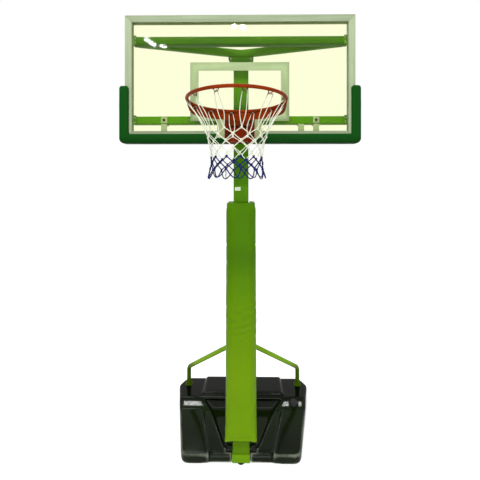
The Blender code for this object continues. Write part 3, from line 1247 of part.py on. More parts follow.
def make_rim():
    """The ring with its band, its hooks and the box-like neck that turns on the pin."""
    half = NECK_WIDTH / 2
    weld_y = RING_Y + RING_RADIUS
    low, high = (-half, weld_y - NECK_WELD, RIM_HEIGHT - NECK_PLATE), (half, NECK_REAR, RIM_HEIGHT)
    top_plate = box("neck_top", low, high)
    front_y, front_z = PIVOT_Y - PIVOT_EYE * 0.8, PIVOT_Z - PIVOT_EYE * 0.2
    upper, band_z = RIM_HEIGHT - NECK_INSET, RIM_HEIGHT - BAND_HEIGHT
    cheek = rounded([
        (NECK_REAR, upper), (weld_y + NECK_WELD, upper), (weld_y + NECK_WELD, band_z + 2 * NECK_INSET),
        (front_y, front_z), (PIVOT_Y - PIVOT_EYE * 0.6, PIVOT_Z - PIVOT_EYE * 0.8),
        (PIVOT_Y + PIVOT_EYE * 0.6, PIVOT_Z - PIVOT_EYE * 0.8), (PIVOT_Y + PIVOT_EYE * 1.45, NECK_BOTTOM),
        (NECK_REAR, NECK_BOTTOM),
    ], [NECK_PLATE, 0, 0, NECK_WELD, NECK_PLATE, NECK_PLATE, NECK_PLATE / 2, NECK_PLATE], 2)
    rim = join(make_ring(), make_band(), top_plate)
    for sign, side in ((-1, "left"), (1, "right")):
        join(rim, plate(f"neck_{side}", "x", [cheek], sign * (half - NECK_PLATE), sign * half))
    lip_z = front_z - NOSE_DROP
    skin = NECK_PLATE
    nose = plate("neck_front", "x", [[
        (weld_y + NECK_WELD + 2 * NECK_INSET, band_z + 3 * NECK_INSET), (front_y + NECK_INSET, front_z),
        (front_y + 3 * NECK_INSET, lip_z), (front_y + NECK_INSET / 2 + skin, lip_z),
        (front_y + NECK_INSET / 2 + skin, front_z + NECK_INSET), (weld_y + 2 * skin, band_z + 2 * skin),
    ]], -half + skin / 2, half - skin / 2)
    floor = box(
        "neck_floor", (-half + NECK_INSET, PIVOT_Y + PIVOT_EYE * 1.6, NECK_BOTTOM),
        (half - NECK_INSET, NECK_REAR - NECK_PLATE, NECK_BOTTOM + NECK_PLATE),
    )
    join(rim, nose, floor)
    for number in range(HOOKS):
        join(rim, make_hook(number))
    reach = half + OVERCUT
    pin_ends = (-reach, PIVOT_Y, PIVOT_Z), (reach, PIVOT_Y, PIVOT_Z)
    pin_hole = tool(rod("neck_pin_hole", PIVOT_RADIUS + RUN, *pin_ends, sides=20))
    bolt_ends = (0, SPRING_BOLT_Y, NECK_BOTTOM - OVERCUT), (0, SPRING_BOLT_Y, NECK_BOTTOM + 2 * OVERCUT)
    bolt_hole = tool(rod("neck_bolt_hole", SPRING_BOLT_RADIUS + GAP, *bolt_ends, sides=16))
    part(cut(rim, pin_hole, bolt_hole), "rim_paint", RIM_AXIS)


def make_spring():
    """The bolt that holds the rim up through a compression spring under the housing's shelf."""
    y = SPRING_BOLT_Y
    top = NECK_BOTTOM + NECK_PLATE + GAP
    bottom = top - SPRING_BOLT_LENGTH
    nut_low = bottom + SPRING_NUT_RISE
    washer_low = nut_low + NUT_HEIGHT
    washer_top = washer_low + WASHER_THICK

    def upright(name, radius, low, high, sides):
        return rod(name, radius, (0, y, low), (0, y, high), sides=sides)

    bolt = upright("spring_bolt", SPRING_BOLT_RADIUS, bottom, top + BOLT_HEAD_HEIGHT / 2, 16)
    head = upright("spring_bolt_head", BOLT_HEAD_RADIUS, top, top + BOLT_HEAD_HEIGHT, 6)
    nut = upright("spring_nut", NUT_RADIUS, nut_low, washer_low + WASHER_THICK / 3, 6)
    washer = upright("spring_washer", WASHER_RADIUS, washer_low, washer_top, 24)
    part(join(bolt, head, nut, washer), "zinc", RIM_AXIS)

    start = SHELF_BOTTOM - GAP - SPRING_WIRE
    end = washer_top + GAP + SPRING_WIRE
    steps = SPRING_TURNS * SPRING_POINTS
    points = []
    for step in range(steps + 1):
        angle = 2 * math.pi * step / SPRING_POINTS
        across, back = SPRING_RADIUS * math.cos(angle), SPRING_RADIUS * math.sin(angle)
        points.append((across, y + back, start + (end - start) * step / steps))
    part(tube("rim_spring", points, SPRING_WIRE, 1), "black_steel", MAST_AXIS)


def cord_ring(builder, place, along):
    """The corners of a cord's section at a point, one of them facing away from the net's axis."""
    out = Vector((place.x, place.y - spot(0, RING_Y, 0).y, 0)).normalized()
    out = (out - along * out.dot(along)).normalized()
    side = along.cross(out)
    turns = [2 * math.pi * k / CORD_SIDES for k in range(CORD_SIDES)]
    return [builder.verts.new(place + CORD_RADIUS * (out * math.cos(a) + side * math.sin(a))) for a in turns]


def cord_between(builder, first, last):
    """The sides of a cord between two of its sections, each corner to the nearest one."""
    count = len(first)

    def spread(shift):
        return sum((first[i].co - last[(i + shift) % count].co).length for i in range(count))

    turn = min(range(count), key=spread)
    for i in range(count):
        j = (i + 1) % count
        builder.faces.new((first[i], first[j], last[(j + turn) % count], last[(i + turn) % count]))


def net_chains():
    """The knots' places and the cords between them: loops over the hooks, a lattice and hanging loops."""
    step = 2 * math.pi / HOOKS
    start = math.radians(HOOK_TURN)

    def knot_place(row, k):
        drop, radius = NET_ROWS[row]
        shift = 0 if row % 2 == 0 else 0.5
        return spot(*ring_point(start + step * (k + shift), radius, RIM_HEIGHT - drop))

    rows = len(NET_ROWS)
    knots = {(row, k): knot_place(row, k) for row in range(rows) for k in range(HOOKS)}
    chains = []
    for k in range(HOOKS):
        angle = start + step * k

        def beside_hook(along, out, up):
            x, y, z = ring_point(angle, HOOK_RADIUS + out, HOOK_Z + up)
            return spot(x + along * math.cos(angle), y + along * math.sin(angle), z)

        over = [beside_hook(*offset) for offset in HOOK_LOOP]
        leg, out, up = LOOP_LEG
        chains.append(((0, k), [beside_hook(-leg, out, up), *over, beside_hook(leg, out, up)], (0, k)))
        for row in range(rows - 1):
            beside = (k - 1) % HOOKS if row % 2 == 0 else (k + 1) % HOOKS
            chains.append(((row, k), [], (row + 1, k)))
            chains.append(((row, k), [], (row + 1, beside)))
        last_drop, last_radius = NET_ROWS[-1]
        tips = []
        shift = 0 if rows % 2 == 1 else 0.5
        for share in (0.25, 0.5, 0.75):
            sag = math.sin(share * math.pi)
            radius = last_radius + (NET_TIP_RADIUS - last_radius) * sag
            drop = last_drop + (NET_TIP_DROP - last_drop) * sag
            tips.append(spot(*ring_point(start + step * (k + shift + share), radius, RIM_HEIGHT - drop)))
        chains.append(((rows - 1, k), tips, (rows - 1, (k + 1) % HOOKS)))
    return knots, chains


def make_net():
    """The net, one body: a solid at each knot, with the cords between them."""
    knots, chains = net_chains()
    leaving = {knot: [] for knot in knots}
    for number, (first, middle, last) in enumerate(chains):
        path = [knots[first], *middle, knots[last]]
        leaving[first].append((number, 0, (path[1] - path[0]).normalized()))
        leaving[last].append((number, -1, (path[-2] - path[-1]).normalized()))
    builder = bmesh.new()
    ends = {}
    caps = []
    for knot, directions in leaving.items():
        corners = []
        for number, end, along in directions:
            narrowest = min(along.angle(other) for n, e, other in directions if (n, e) != (number, end))
            reach = 1.2 * CORD_RADIUS / math.tan(min(narrowest, math.pi / 2) / 2)
            ring = cord_ring(builder, knots[knot] + along * reach, along)
            ends[number, end] = ring if end == 0 else [ring[0], *reversed(ring[1:])]
            corners += ring
            caps.append(set(ring))
        before = set(builder.faces)
        bmesh.ops.convex_hull(builder, input=corners)
        made = [face for face in builder.faces if face not in before]
        rings = caps[-len(directions):]
        inner = [face for face in made if any(set(face.verts) <= ring for ring in rings)]
        bmesh.ops.delete(builder, geom=inner, context="FACES")
    for number, (first, middle, last) in enumerate(chains):
        path = [knots[first], *middle, knots[last]]
        rings = [ends[number, 0]]
        for before, here, after in zip(path, path[1:], path[2:]):
            along = ((here - before).normalized() + (after - here).normalized()).normalized()
            rings.append(cord_ring(builder, here, along))
        rings.append(ends[number, -1])
        for one, other in zip(rings, rings[1:]):
            cord_between(builder, one, other)
    net = part(mesh_object("net", builder, smooth=True), "net_white", RIM_AXIS)
    net.data.materials.append(MATERIALS["net_blue"])
    blue_top = RIM_HEIGHT - NET_ROWS[NET_BLUE_ROW][0]
    for face in net.data.polygons:
        face.material_index = int(face.center.z < blue_top)


def make_pole_pad():
    """The pad round the front and sides of the pole: crowned in front, wider towards its foot."""
    channel = OUTER_TUBE / 2 + GAP
    front = POLE_FRONT - POLE_PAD_FRONT
    back = POLE_BACK + POLE_PAD_BEHIND
    height = POLE_PAD_TOP - POLE_PAD_BOTTOM
    corner = POLE_PAD_CORNER
    edge = POLE_PAD_EDGE

    def section(z, inset, flare=0.0, droop=0.0):
        share = (POLE_PAD_TOP - z) / height
        half = (POLE_PAD_WIDTH_TOP + (POLE_PAD_WIDTH_BOTTOM - POLE_PAD_WIDTH_TOP) * share) / 2 - inset + flare
        face = front + inset - flare
        rear = back - inset / 2
        outline = [(-half, rear), (-half, face + corner + POLE_PAD_SIDE)]
        outline.append((-half - POLE_PAD_BULGE, face + corner))
        for step in (1, 2):
            angle = math.radians(30 * step)
            outline.append((-half + corner * (1 - math.cos(angle)), face + corner * (1 - math.sin(angle))))
        for step in range(7):
            along = -1 + step / 3
            outline.append((along * (half - corner), face - POLE_PAD_CROWN * (1 - along * along)))
        outline += [(-x, y) for x, y in reversed(outline[:5])]
        inner = POLE_FRONT - GAP
        outline += [(channel, rear), (channel, inner), (-channel, inner), (-channel, rear)]
        return [(x, y, z - droop * (x / half) ** 2) for x, y in outline]

    low, high = POLE_PAD_BOTTOM, POLE_PAD_TOP
    levels = [
        (low, edge * 0.4, POLE_PAD_FLARE, POLE_PAD_DROOP),
        (low + edge / 2, 0, POLE_PAD_FLARE, POLE_PAD_DROOP),
        (low + POLE_PAD_HEM, 0, POLE_PAD_FLARE * 0.3, POLE_PAD_DROOP / 2),
        (low + POLE_PAD_HEM * 2.6, 0),
        (low + height * 0.36, POLE_PAD_BULGE),
        (low + height * 0.68, 0),
        (high - POLE_PAD_HEM, 0),
        (high - edge * 0.75, edge * 0.25),
        (high, edge),
    ]
    part(loft("pole_pad", [section(*level) for level in levels]), "pole_pad_vinyl")

    near = back + GAP
    half = POLE_PAD_WIDTH_TOP / 2 - STRAP_SHORT
    for name, z in STRAP_HEIGHTS.items():
        low, high = (-half, near, z - STRAP_WIDTH / 2), (half, near + STRAP_THICK, z + STRAP_WIDTH / 2)
        part(box(f"pad_strap_{name}", low, high), "black_plastic")


def strut_line(sign):
    """Where a strut's straight line starts at its bracket, where it would meet the upright, and its way."""
    start = Vector((sign * STRUT_START_OUT, POLE_BACK + GAP + STRUT_PLATE_THICK, STRUT_HEIGHT))
    bend = Vector((sign * STRUT_FOOT_OUT, STRUT_FOOT_Y, STRUT_BEND_HEIGHT))
    return start, bend, (bend - start).normalized()


def strut_path(sign, foot):
    """A strut's points from its sleeve round its bend and down to its foot."""
    start, corner, direction = strut_line(sign)
    down = Vector((0, 0, -1))
    half_turn = (math.pi - direction.angle(down)) / 2
    reach = STRUT_BEND_RADIUS / math.tan(half_turn)
    middle = corner + (down - direction).normalized() * STRUT_BEND_RADIUS / math.sin(half_turn)
    enter, leave = corner - direction * reach - middle, corner + down * reach - middle
    sweep = enter.angle(leave)
    points = [start + direction * (STRUT_IN_SLEEVE + GAP)]
    steps = 6
    for step in range(steps + 1):
        angle = sweep * step / steps
        points.append(middle + (enter * math.sin(sweep - angle) + leave * math.sin(angle)) / math.sin(sweep))
    points.append(Vector((corner.x, corner.y, foot)))
    return [tuple(point) for point in points]


def make_struts():
    """The bracket behind the pole, the two struts in its sleeves and their feet on the tank."""
    near = POLE_BACK + GAP
    half, tall = STRUT_PLATE_WIDTH / 2, STRUT_PLATE_HEIGHT / 2
    outside, bore = STRUT_RADIUS + GAP + SLEEVE_WALL, STRUT_RADIUS + GAP
    bracket = box(
        "strut_bracket", (-half, near - STRUT_PLATE_THICK, STRUT_HEIGHT - tall),
        (half, near + STRUT_PLATE_THICK, STRUT_HEIGHT + tall),
    )
    foot_top = DECK_TOP + GAP + FOOT_PLATE[2]
    bores = []
    for sign, side in ((-1, "left"), (1, "right")):
        start, _, direction = strut_line(sign)
        # The sleeves cross at the plate, so one is turned by half a facet.
        turn = math.pi / 24 if sign > 0 else 0.0
        sleeve_ends = start - direction * SLEEVE_ROOT, start + direction * SLEEVE_REACH
        join(bracket, rod(f"strut_sleeve_{side}", outside, *sleeve_ends, turn=turn))
        bore_ends = start + direction * STRUT_IN_SLEEVE, start + direction * (SLEEVE_REACH + OVERCUT)
        bores.append(tool(rod(f"sleeve_bore_{side}", bore, *bore_ends)))
        strut = tube(f"strut_{side}", strut_path(sign, foot_top + GAP), STRUT_RADIUS, 3)
        strut.data.shade_smooth()
        part(strut, "bright_green_paint")

        wide, deep, _ = FOOT_PLATE
        x, y = sign * STRUT_FOOT_OUT, STRUT_FOOT_Y
        corners = rectangle((x - wide / 2, y - deep / 2), (x + wide / 2, y + deep / 2))
        outline = rounded(corners, [FOOT_PLATE_CORNER] * 4, 3)
        foot = plate(f"strut_foot_{side}", "z", [outline], DECK_TOP + GAP, foot_top)
        sleeve_low = foot_top - FOOT_PLATE[2] / 4
        sleeve = rod(f"foot_sleeve_{side}", outside, (x, y, sleeve_low), (x, y, foot_top + FOOT_SLEEVE))
        hole_ends = (x, y, foot_top), (x, y, foot_top + FOOT_SLEEVE + OVERCUT)
        hole = tool(rod(f"foot_bore_{side}", bore, *hole_ends))
        part(cut(join(foot, sleeve), hole), "bright_green_paint")
    space = tool(box(
        "pole_space", (-half - OVERCUT, POLE_FRONT, STRUT_HEIGHT - 2 * tall),
        (half + OVERCUT, near, STRUT_HEIGHT + 2 * tall),
    ))
    part(cut(bracket, space, *bores), "bright_green_paint")


def make_clamp():
    """The boss behind the pole and the lobed knob whose screw clamps the mast."""
    near = POLE_BACK + GAP
    far = near + CLAMP_BOSS_LENGTH

    def behind(name, radius, start, end, sides):
        return rod(name, radius, (0, start, CLAMP_HEIGHT), (0, end, CLAMP_HEIGHT), sides=sides)

    boss = behind("clamp_boss", CLAMP_BOSS_RADIUS, near, far, 24)
    bore = tool(behind("boss_bore", CLAMP_SCREW_RADIUS + RUN, near - OVERCUT, far + OVERCUT, 16))
    part(cut(boss, bore), "bright_green_paint")

    knob_near = far + KNOB_CLEAR
    outline = []
    count = KNOB_LOBES * 8
    for k in range(count):
        angle = 2 * math.pi * k / count
        radius = KNOB_RADIUS * (1 - KNOB_GRIP * (1 - math.cos(KNOB_LOBES * angle)))
        outline.append((radius * math.cos(angle), CLAMP_HEIGHT + radius * math.sin(angle)))
    head = plate("knob_head", "y", [outline], knob_near, knob_near + KNOB_THICK)
    bevel(head, KNOB_EDGE, 2, 60)
    screw = behind("lock_knob", CLAMP_SCREW_RADIUS, INNER_BACK + GAP, knob_near + KNOB_THICK / 4, 16)
    part(join(screw, head), "black_plastic")


make_tank()
make_fill_cap()
make_foot()
make_lower_pole()
make_struts()
make_pole_pad()
make_clamp()
make_inner_tube()
make_head()
make_arms()
make_beams()
make_beam_bolts()
make_spacer()
make_rail_brackets()
make_rails()
make_pane()
make_edge_padding()
make_rim_mount()
make_pivot_pin()
make_rim_bolts()
make_rim()
make_spring()
make_net()
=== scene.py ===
"""Dresses the basketball stand: camera, light, finishes, padding, straps, net cords and small details."""
from math import cos, exp, pi, radians, sin, sqrt, tan

import bmesh
import bpy
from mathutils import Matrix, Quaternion, Vector, noise


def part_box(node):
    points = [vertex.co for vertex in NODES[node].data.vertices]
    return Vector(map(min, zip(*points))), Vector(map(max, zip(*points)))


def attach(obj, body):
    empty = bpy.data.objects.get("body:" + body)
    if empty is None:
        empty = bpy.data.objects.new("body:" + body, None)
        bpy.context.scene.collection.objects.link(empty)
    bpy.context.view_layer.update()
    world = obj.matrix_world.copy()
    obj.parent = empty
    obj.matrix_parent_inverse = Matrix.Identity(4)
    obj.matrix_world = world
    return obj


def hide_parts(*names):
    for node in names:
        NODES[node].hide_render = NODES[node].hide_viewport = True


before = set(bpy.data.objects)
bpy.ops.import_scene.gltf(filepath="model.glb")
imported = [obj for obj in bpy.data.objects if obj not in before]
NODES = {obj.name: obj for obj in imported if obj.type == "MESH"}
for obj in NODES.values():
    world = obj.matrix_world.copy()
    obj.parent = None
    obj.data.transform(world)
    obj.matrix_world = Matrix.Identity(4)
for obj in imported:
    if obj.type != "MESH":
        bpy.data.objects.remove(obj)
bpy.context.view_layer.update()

SCENE = bpy.context.scene
SCENE.view_settings.view_transform = "Standard"

# Sizes and places in metres; depths are counted backwards from the board's face
CENTRE_Y = 0.1565
BOARD_BOTTOM = 2.158
BOARD_HALF = 0.686
GAP = 0.0003
RAIL_BACK = 0.040 + GAP
BEAM_LEVELS = (2.2745, 2.761)
RING_Y = -0.376
RIM_HEIGHT = 2.286
POLE_FRONT = 0.246

# Net; rows are drops below the rim and radii, and offsets at a hook go along, out and up
HOOKS = 12
HOOK_TURN = 10.5
HOOK_RADIUS = 0.2235
HOOK_Z = 2.2695
NET_ROWS = (
    (0.150, 0.148), (0.174, 0.140), (0.202, 0.132), (0.233, 0.126),
    (0.272, 0.121), (0.298, 0.122), (0.325, 0.126),
)
NET_BLUE_ROW = 4
HOOK_LOOP = (
    (-0.0105, -0.0054, -0.0085), (-0.0062, -0.0054, 0.0005), (-0.0028, -0.0034, 0.0050),
    (0.0028, 0.0034, 0.0050), (0.0062, 0.0054, 0.0005), (0.0105, 0.0054, -0.0085),
)
LOOP_LEG = (0.0135, -0.0455, -0.0750)
NET_TIP_DROP = 0.371
NET_TIP_RADIUS = 0.137
WHITE_CORD, BLUE_CORD = 0.0019, 0.0027
CORD_PITCH = 0.017
KNOT_SIZE = 0.00165
KNOT_STEPS = 30

# Pole pad and its straps
PAD_BOTTOM, PAD_TOP = 0.193, 1.759
PAD_WIDTHS = (0.198, 0.186)
PAD_FRONT, PAD_MIDDLE, PAD_BACK = 0.206, 0.29, 0.371
PAD_CORNER, PAD_REAR_CORNER = 0.018, 0.005
PAD_FLARE = 0.085
PAD_CHANNEL = 0.0553
STRAPS = {"lower": 0.420, "middle": 1.060, "upper": 1.480}
STRAP_HALF, STRAP_WIDE = 0.0885, 0.0245
STRAP_NEAR = PAD_BACK + GAP
STRAP_FAR = STRAP_NEAR + 0.0023
LAP_LEVEL = STRAP_FAR + 0.0002
LAP_THICK = 0.0016

# Padding of the board's lower edge
EDGE_REACH, EDGE_LAP, EDGE_BACK_LAP = 0.031, 0.025, 0.014
EDGE_FRONT, EDGE_BACK = -0.016, RAIL_BACK + 0.010
EDGE_SIDE, EDGE_END, EDGE_CORNER = 0.311, 0.025, 0.030
PLATE_HALF, HOUSING_HALF = 0.137, 0.091

# How strongly coated and bare surfaces mirror
COAT_SHINE, BARE_SHINE = 0.05, 0.15


def at(x, y, z):
    """World place of a point given by its depth behind the board's face."""
    return Vector((x, y - CENTRE_Y, z))


def rgb(red, green, blue):
    """Linear colour of 8-bit values."""
    values = []
    for value in (red, green, blue):
        share = value / 255
        values.append(share / 12.92 if share <= 0.04045 else ((share + 0.055) / 1.055) ** 2.4)
    return (*values, 1.0)


def darker(colour, share):
    """The colour at this share of its strength, lighter over 1."""
    return (*(value * share for value in colour[:3]), 1.0)


def add(name, data):
    """A new object in the scene."""
    obj = bpy.data.objects.new(name, data)
    SCENE.collection.objects.link(obj)
    return obj


# Camera

def make_camera():
    data = bpy.data.cameras.new("camera")
    data.sensor_width = 36
    data.lens = 23.37
    data.shift_x = -0.0152
    data.shift_y = -0.1244
    camera = add("camera", data)
    camera.location = (0.065, -2.0075, 1.908)
    camera.rotation_euler = (radians(90), 0, radians(0.61))
    SCENE.camera = camera


# Materials

class Nodes:
    """Shader nodes of one tree, made by short calls."""

    def __init__(self, owner):
        owner.use_nodes = True
        self.tree = owner.node_tree

    def node(self, kind, *values, settings=None, **inputs):
        """A new node; the values go to its first inputs and the others to inputs by name."""
        node = self.tree.nodes.new("ShaderNode" + kind)
        for key, value in (settings or {}).items():
            setattr(node, key, value)
        for socket, value in zip(node.inputs, values):
            self.feed(socket, value)
        for key, value in inputs.items():
            self.feed(node.inputs[key.replace("_", " ")], value)
        return node

    def feed(self, socket, value):
        if isinstance(value, bpy.types.NodeSocket):
            self.tree.links.new(value, socket)
        else:
            socket.default_value = value

    def maths(self, operation, first, second=0.0):
        return self.node("Math", first, second, settings={"operation": operation}).outputs[0]

    def times(self, first, second):
        return self.maths("MULTIPLY", first, second)

    def plus(self, first, second):
        return self.maths("ADD", first, second)

    def ramp(self, value, low, high, start=0.0, end=1.0):
        """From start to end while the value goes from low to high."""
        limits = {"From_Min": low, "From_Max": high, "To_Min": start, "To_Max": end}
        return self.node("MapRange", Value=value, **limits).outputs["Result"]

    def seen(self):
        """1 for what is seen straight, mirrored or through a pane, and 0 for the rest."""
        rays = self.node("LightPath").outputs
        seen = self.maths("MAXIMUM", rays["Is Camera Ray"], rays["Is Glossy Ray"])
        return self.maths("MAXIMUM", seen, rays["Is Transmission Ray"])


class Look(Nodes):
    """A Principled material drawn by nodes in the object's own space."""

    def __init__(self, name):
        self.material = bpy.data.materials.new(name)
        super().__init__(self.material)
        self.shader = self.tree.nodes["Principled BSDF"]
        self.space = self.node("TexCoord").outputs["Object"]
        self.shade = None
        self.normal = None

    def gloss(self, roughness, shine=0.5, **constants):
        constants.update(Roughness=roughness, Specular_IOR_Level=shine)
        for key, value in constants.items():
            self.shader.inputs[key.replace("_", " ")].default_value = value

    def axis(self, letter):
        """The X, Y or Z of the place that is shaded."""
        return self.node("SeparateXYZ", self.space).outputs[letter]

    def distance(self, place, vector=None):
        node = self.node("VectorMath", vector or self.space, place, settings={"operation": "DISTANCE"})
        return node.outputs["Value"]

    def noise(self, scale, detail=2.0, stretch=(1, 1, 1), rough=0.5):
        vector = self.node("Mapping", self.space, Scale=stretch).outputs["Vector"]
        node = self.node("TexNoise", vector, Scale=scale, Detail=detail, Roughness=rough)
        return node.outputs["Fac"]

    def cells(self, scale, feature="F1"):
        node = self.node("TexVoronoi", self.space, settings={"feature": feature}, Scale=scale)
        return node.outputs["Distance"]

    def mix(self, share, first, second, blend="MIX"):
        node = self.node("Mix", share, settings={"data_type": "RGBA", "blend_type": blend})
        self.feed(node.inputs[6], first)
        self.feed(node.inputs[7], second)
        return node.outputs[2]

    def mottled(self, pattern, colour, low, high, spread=0.2):
        """The colour, going from its low to its high share with the pattern."""
        share = self.ramp(pattern, 0.5 - spread, 0.5 + spread)
        return self.mix(share, darker(colour, low), darker(colour, high))

    def colour(self, value):
        self.shade = value
        self.feed(self.shader.inputs["Base Color"], value)

    def stain(self, colour, share, *limits):
        """Lays a colour over the present one by a share, or by a pattern between limits."""
        if limits:
            share = self.ramp(share, *limits)
        self.colour(self.mix(share, self.shade, colour))

    def rough(self, pattern, low, high, start, end):
        """Roughness from start to end while the pattern goes from low to high."""
        self.feed(self.shader.inputs["Roughness"], self.ramp(pattern, low, high, start, end))

    def bump(self, height, distance, strength):
        node = self.node("Bump", Height=height, Distance=distance, Strength=strength)
        if self.normal:
            self.feed(node.inputs["Normal"], self.normal)
        self.normal = node.outputs["Normal"]
        self.feed(self.shader.inputs["Normal"], self.normal)

    def sprayed(self):
        """The fine grain and the broad unevenness of a sprayed coat."""
        self.bump(self.noise(650), 0.00012, 0.5)
        self.bump(self.noise(22), 0.0006, 0.25)

    def surface(self, shader):
        self.feed(self.tree.nodes["Material Output"].inputs["Surface"], shader.outputs[0])


def rim_coat(look, colour):
    """The rim's enamel, chipped a little along the ring, with painted shade on the ring's inner underside
    and on the hooks.
    """
    look.gloss(0.3, COAT_SHINE)
    flat = look.node("CombineXYZ", look.axis("X"), look.axis("Y"))
    reach = look.distance((0, RING_Y - CENTRE_Y, 0), flat.outputs["Vector"])
    inside = look.ramp(reach, 0.2310, 0.2330, 1.0, 0.0)
    under = look.ramp(look.axis("Z"), RIM_HEIGHT - 0.0095, RIM_HEIGHT - 0.0055, 0.72, 0.0)
    patches = look.noise(11, 3)
    look.colour(look.mottled(patches, colour, 0.8, 1.12, 0.15))
    look.stain(darker(colour, 0.35), look.noise(120, 4, rough=0.7), 0.66, 0.72, 0.0, 0.6)
    # Painted shade: the ring's inner underside and the hooks below it are darkened.
    look.stain(darker(colour, 0.12), look.times(inside, under))
    look.rough(patches, 0.3, 0.7, 0.24, 0.4)
    look.sprayed()


def powder_coat(look, colour, roughness=0.34):
    look.gloss(roughness, COAT_SHINE)
    patches = look.noise(5, 3)
    look.colour(look.mottled(patches, colour, 0.9, 1.08, 0.15))
    look.stain(darker(colour, 0.7), look.noise(160, 3), 0.62, 0.74, 0.0, 0.25)
    look.rough(patches, 0.3, 0.7, roughness - 0.05, roughness + 0.08)
    look.sprayed()


def strut_coat(look, colour):
    """Powder coat with painted shade, darker towards the tank."""
    look.gloss(0.34, COAT_SHINE)
    patches = look.noise(5, 3)
    ragged = look.plus(look.axis("Z"), look.ramp(patches, 0.3, 0.7, -0.02, 0.02))
    look.colour(look.mottled(patches, colour, 0.9, 1.08, 0.15))
    # Painted shade: the struts darken towards their lower ends at the tank.
    look.stain(darker(colour, 0.14), ragged, 0.28, 0.40, 0.85, 0.0)
    look.sprayed()


def pad_folds(look, height):
    """Slanting folds, from 0 to 1, across the stretch of the pole pad that is bumped most."""
    half_fold = 0.024
    wander = look.noise(6, 2, (1.2, 1.2, 0.6))
    slope = look.times(look.axis("X"), -0.24)
    slope = look.plus(slope, look.ramp(wander, 0.2, 0.8, -0.03, 0.03))
    wave = look.maths("PINGPONG", look.plus(look.plus(height, slope), 0.5), half_fold)
    depth = look.times(look.ramp(height, 0.78, 0.92), look.ramp(height, 1.04, 1.18, 1.0, 0.0))
    depth = look.times(depth, look.ramp(wander, 0.36, 0.62, 0.15, 1.0))
    return look.times(depth, look.ramp(wave, 0.0, half_fold))


def vinyl(look, colour, upper):
    """Grained vinyl with painted light and shade, darker higher up and paler, yellower lower down, and with
    a darker patch near eye level.
    """
    look.gloss(0.42, COAT_SHINE)
    height = look.axis("Z")
    patches = look.noise(3.2, 4)
    creases = look.ramp(look.cells(620, "DISTANCE_TO_EDGE"), 0.0, 0.12)
    darker_patch = look.ramp(look.distance((0.02, 0.045, 1.40)), 0.045, 0.15, 0.30, 0.0)
    # Painted light and shade: darker green at the top, paler and yellower lower down.
    look.colour(upper)
    look.stain(colour, height, 1.40, 0.60)
    # A darker patch on the cover's front near eye level.
    look.stain(darker(upper, 0.45), look.times(darker_patch, look.ramp(patches, 0.25, 0.7, 0.7, 1.2)))
    look.colour(look.mix(1.0, look.shade, look.mottled(patches, (1, 1, 1), 0.92, 1.06), "MULTIPLY"))
    look.stain(darker(colour, 0.55), creases, 0.0, 1.0, 0.25, 0.0)
    look.rough(patches, 0.3, 0.7, 0.36, 0.5)
    look.bump(pad_folds(look, height), 0.006, 0.9)
    look.bump(creases, 0.00016, 0.6)
    look.bump(look.noise(34, 3), 0.0012, 0.3)


def foam_skin(look, colour):
    """Pitted foam, with painted shade darkening its underside."""
    look.gloss(0.5, COAT_SHINE)
    patches = look.noise(9, 3)
    pits = look.cells(420)
    # Painted shade: darker on the underside of the board's edge.
    look.colour(darker(colour, 0.5))
    look.stain(colour, look.axis("Z"), BOARD_BOTTOM - 0.03, BOARD_BOTTOM + 0.02)
    look.stain(darker(colour, 0.6), patches, 0.3, 0.7, 0.0, 0.2)
    look.stain(darker(colour, 1.5), pits, 0.5, 0.8, 0.0, 0.3)
    look.rough(patches, 0.35, 0.65, 0.42, 0.58)
    look.bump(pits, 0.00025, 0.45)
    look.bump(look.noise(45), 0.0009, 0.3)


def brushed(look, colour, stretch):
    """Aluminium brushed along the axis whose stretch is small."""
    look.gloss(0.5, 0.2, Metallic=0.1)
    lines = look.noise(90, 3, stretch)
    look.colour(look.mottled(look.noise(6), colour, 0.92, 1.05))
    look.stain(darker(colour, 0.86), lines, 0.35, 0.65)
    look.rough(lines, 0.3, 0.7, 0.44, 0.58)
    look.bump(lines, 0.00006, 0.5)


def moulded(look, colour, roughness=0.42, grain=900):
    look.gloss(roughness, BARE_SHINE)
    patches = look.noise(14, 3)
    look.colour(look.mottled(patches, colour, 0.8, 1.25))
    look.rough(patches, 0.3, 0.7, roughness - 0.05, roughness + 0.08)
    look.bump(look.noise(grain), 0.0001, 0.5)


def blown_plastic(look, colour):
    """Glossy blow-moulded plastic: a softly wavy skin with pale scuffs, painted reflections, light and shade
    in its colour, and painted highlights along its outer edges, strongest at the front.
    """
    look.gloss(0.12, 0.10)
    depth = look.axis("Y")
    scuffs = look.noise(60, 4, (1, 0.25, 1), 0.7)
    # Painted reflections: broad light and dark patches in the colour stand in for wavy reflections.
    look.colour(look.mottled(look.noise(5, 3), colour, 0.45, 1.25, 0.15))
    look.stain(darker(colour, 2.0), scuffs, 0.66, 0.8, 0.0, 0.3)
    # Painted light and shade: the colour is lighter from the tank's middle back to its steps, and dark on
    # the rear deck behind them.
    look.stain(darker(colour, 2.2), depth, 0.20, 0.44, 0.0, 0.5)
    look.stain(darker(colour, 0.35), depth, 0.485, 0.52)
    # Painted highlights: pale lines along the convex edges, patchy and mostly towards the front.
    edges = look.ramp(look.node("NewGeometry").outputs["Pointiness"], 0.510, 0.545)
    local_weight = look.times(edges, look.ramp(look.noise(9, 3), 0.38, 0.6, 0.15, 0.9))
    look.stain(rgb(158, 164, 146), look.times(local_weight, look.ramp(depth, 0.36, 0.48, 1.0, 0.15)))
    look.rough(scuffs, 0.3, 0.8, 0.09, 0.2)
    look.bump(look.noise(9, 1), 0.004, 0.25)
    look.bump(look.noise(30), 0.0004, 0.2)
    look.bump(look.noise(700), 0.00001, 0.4)


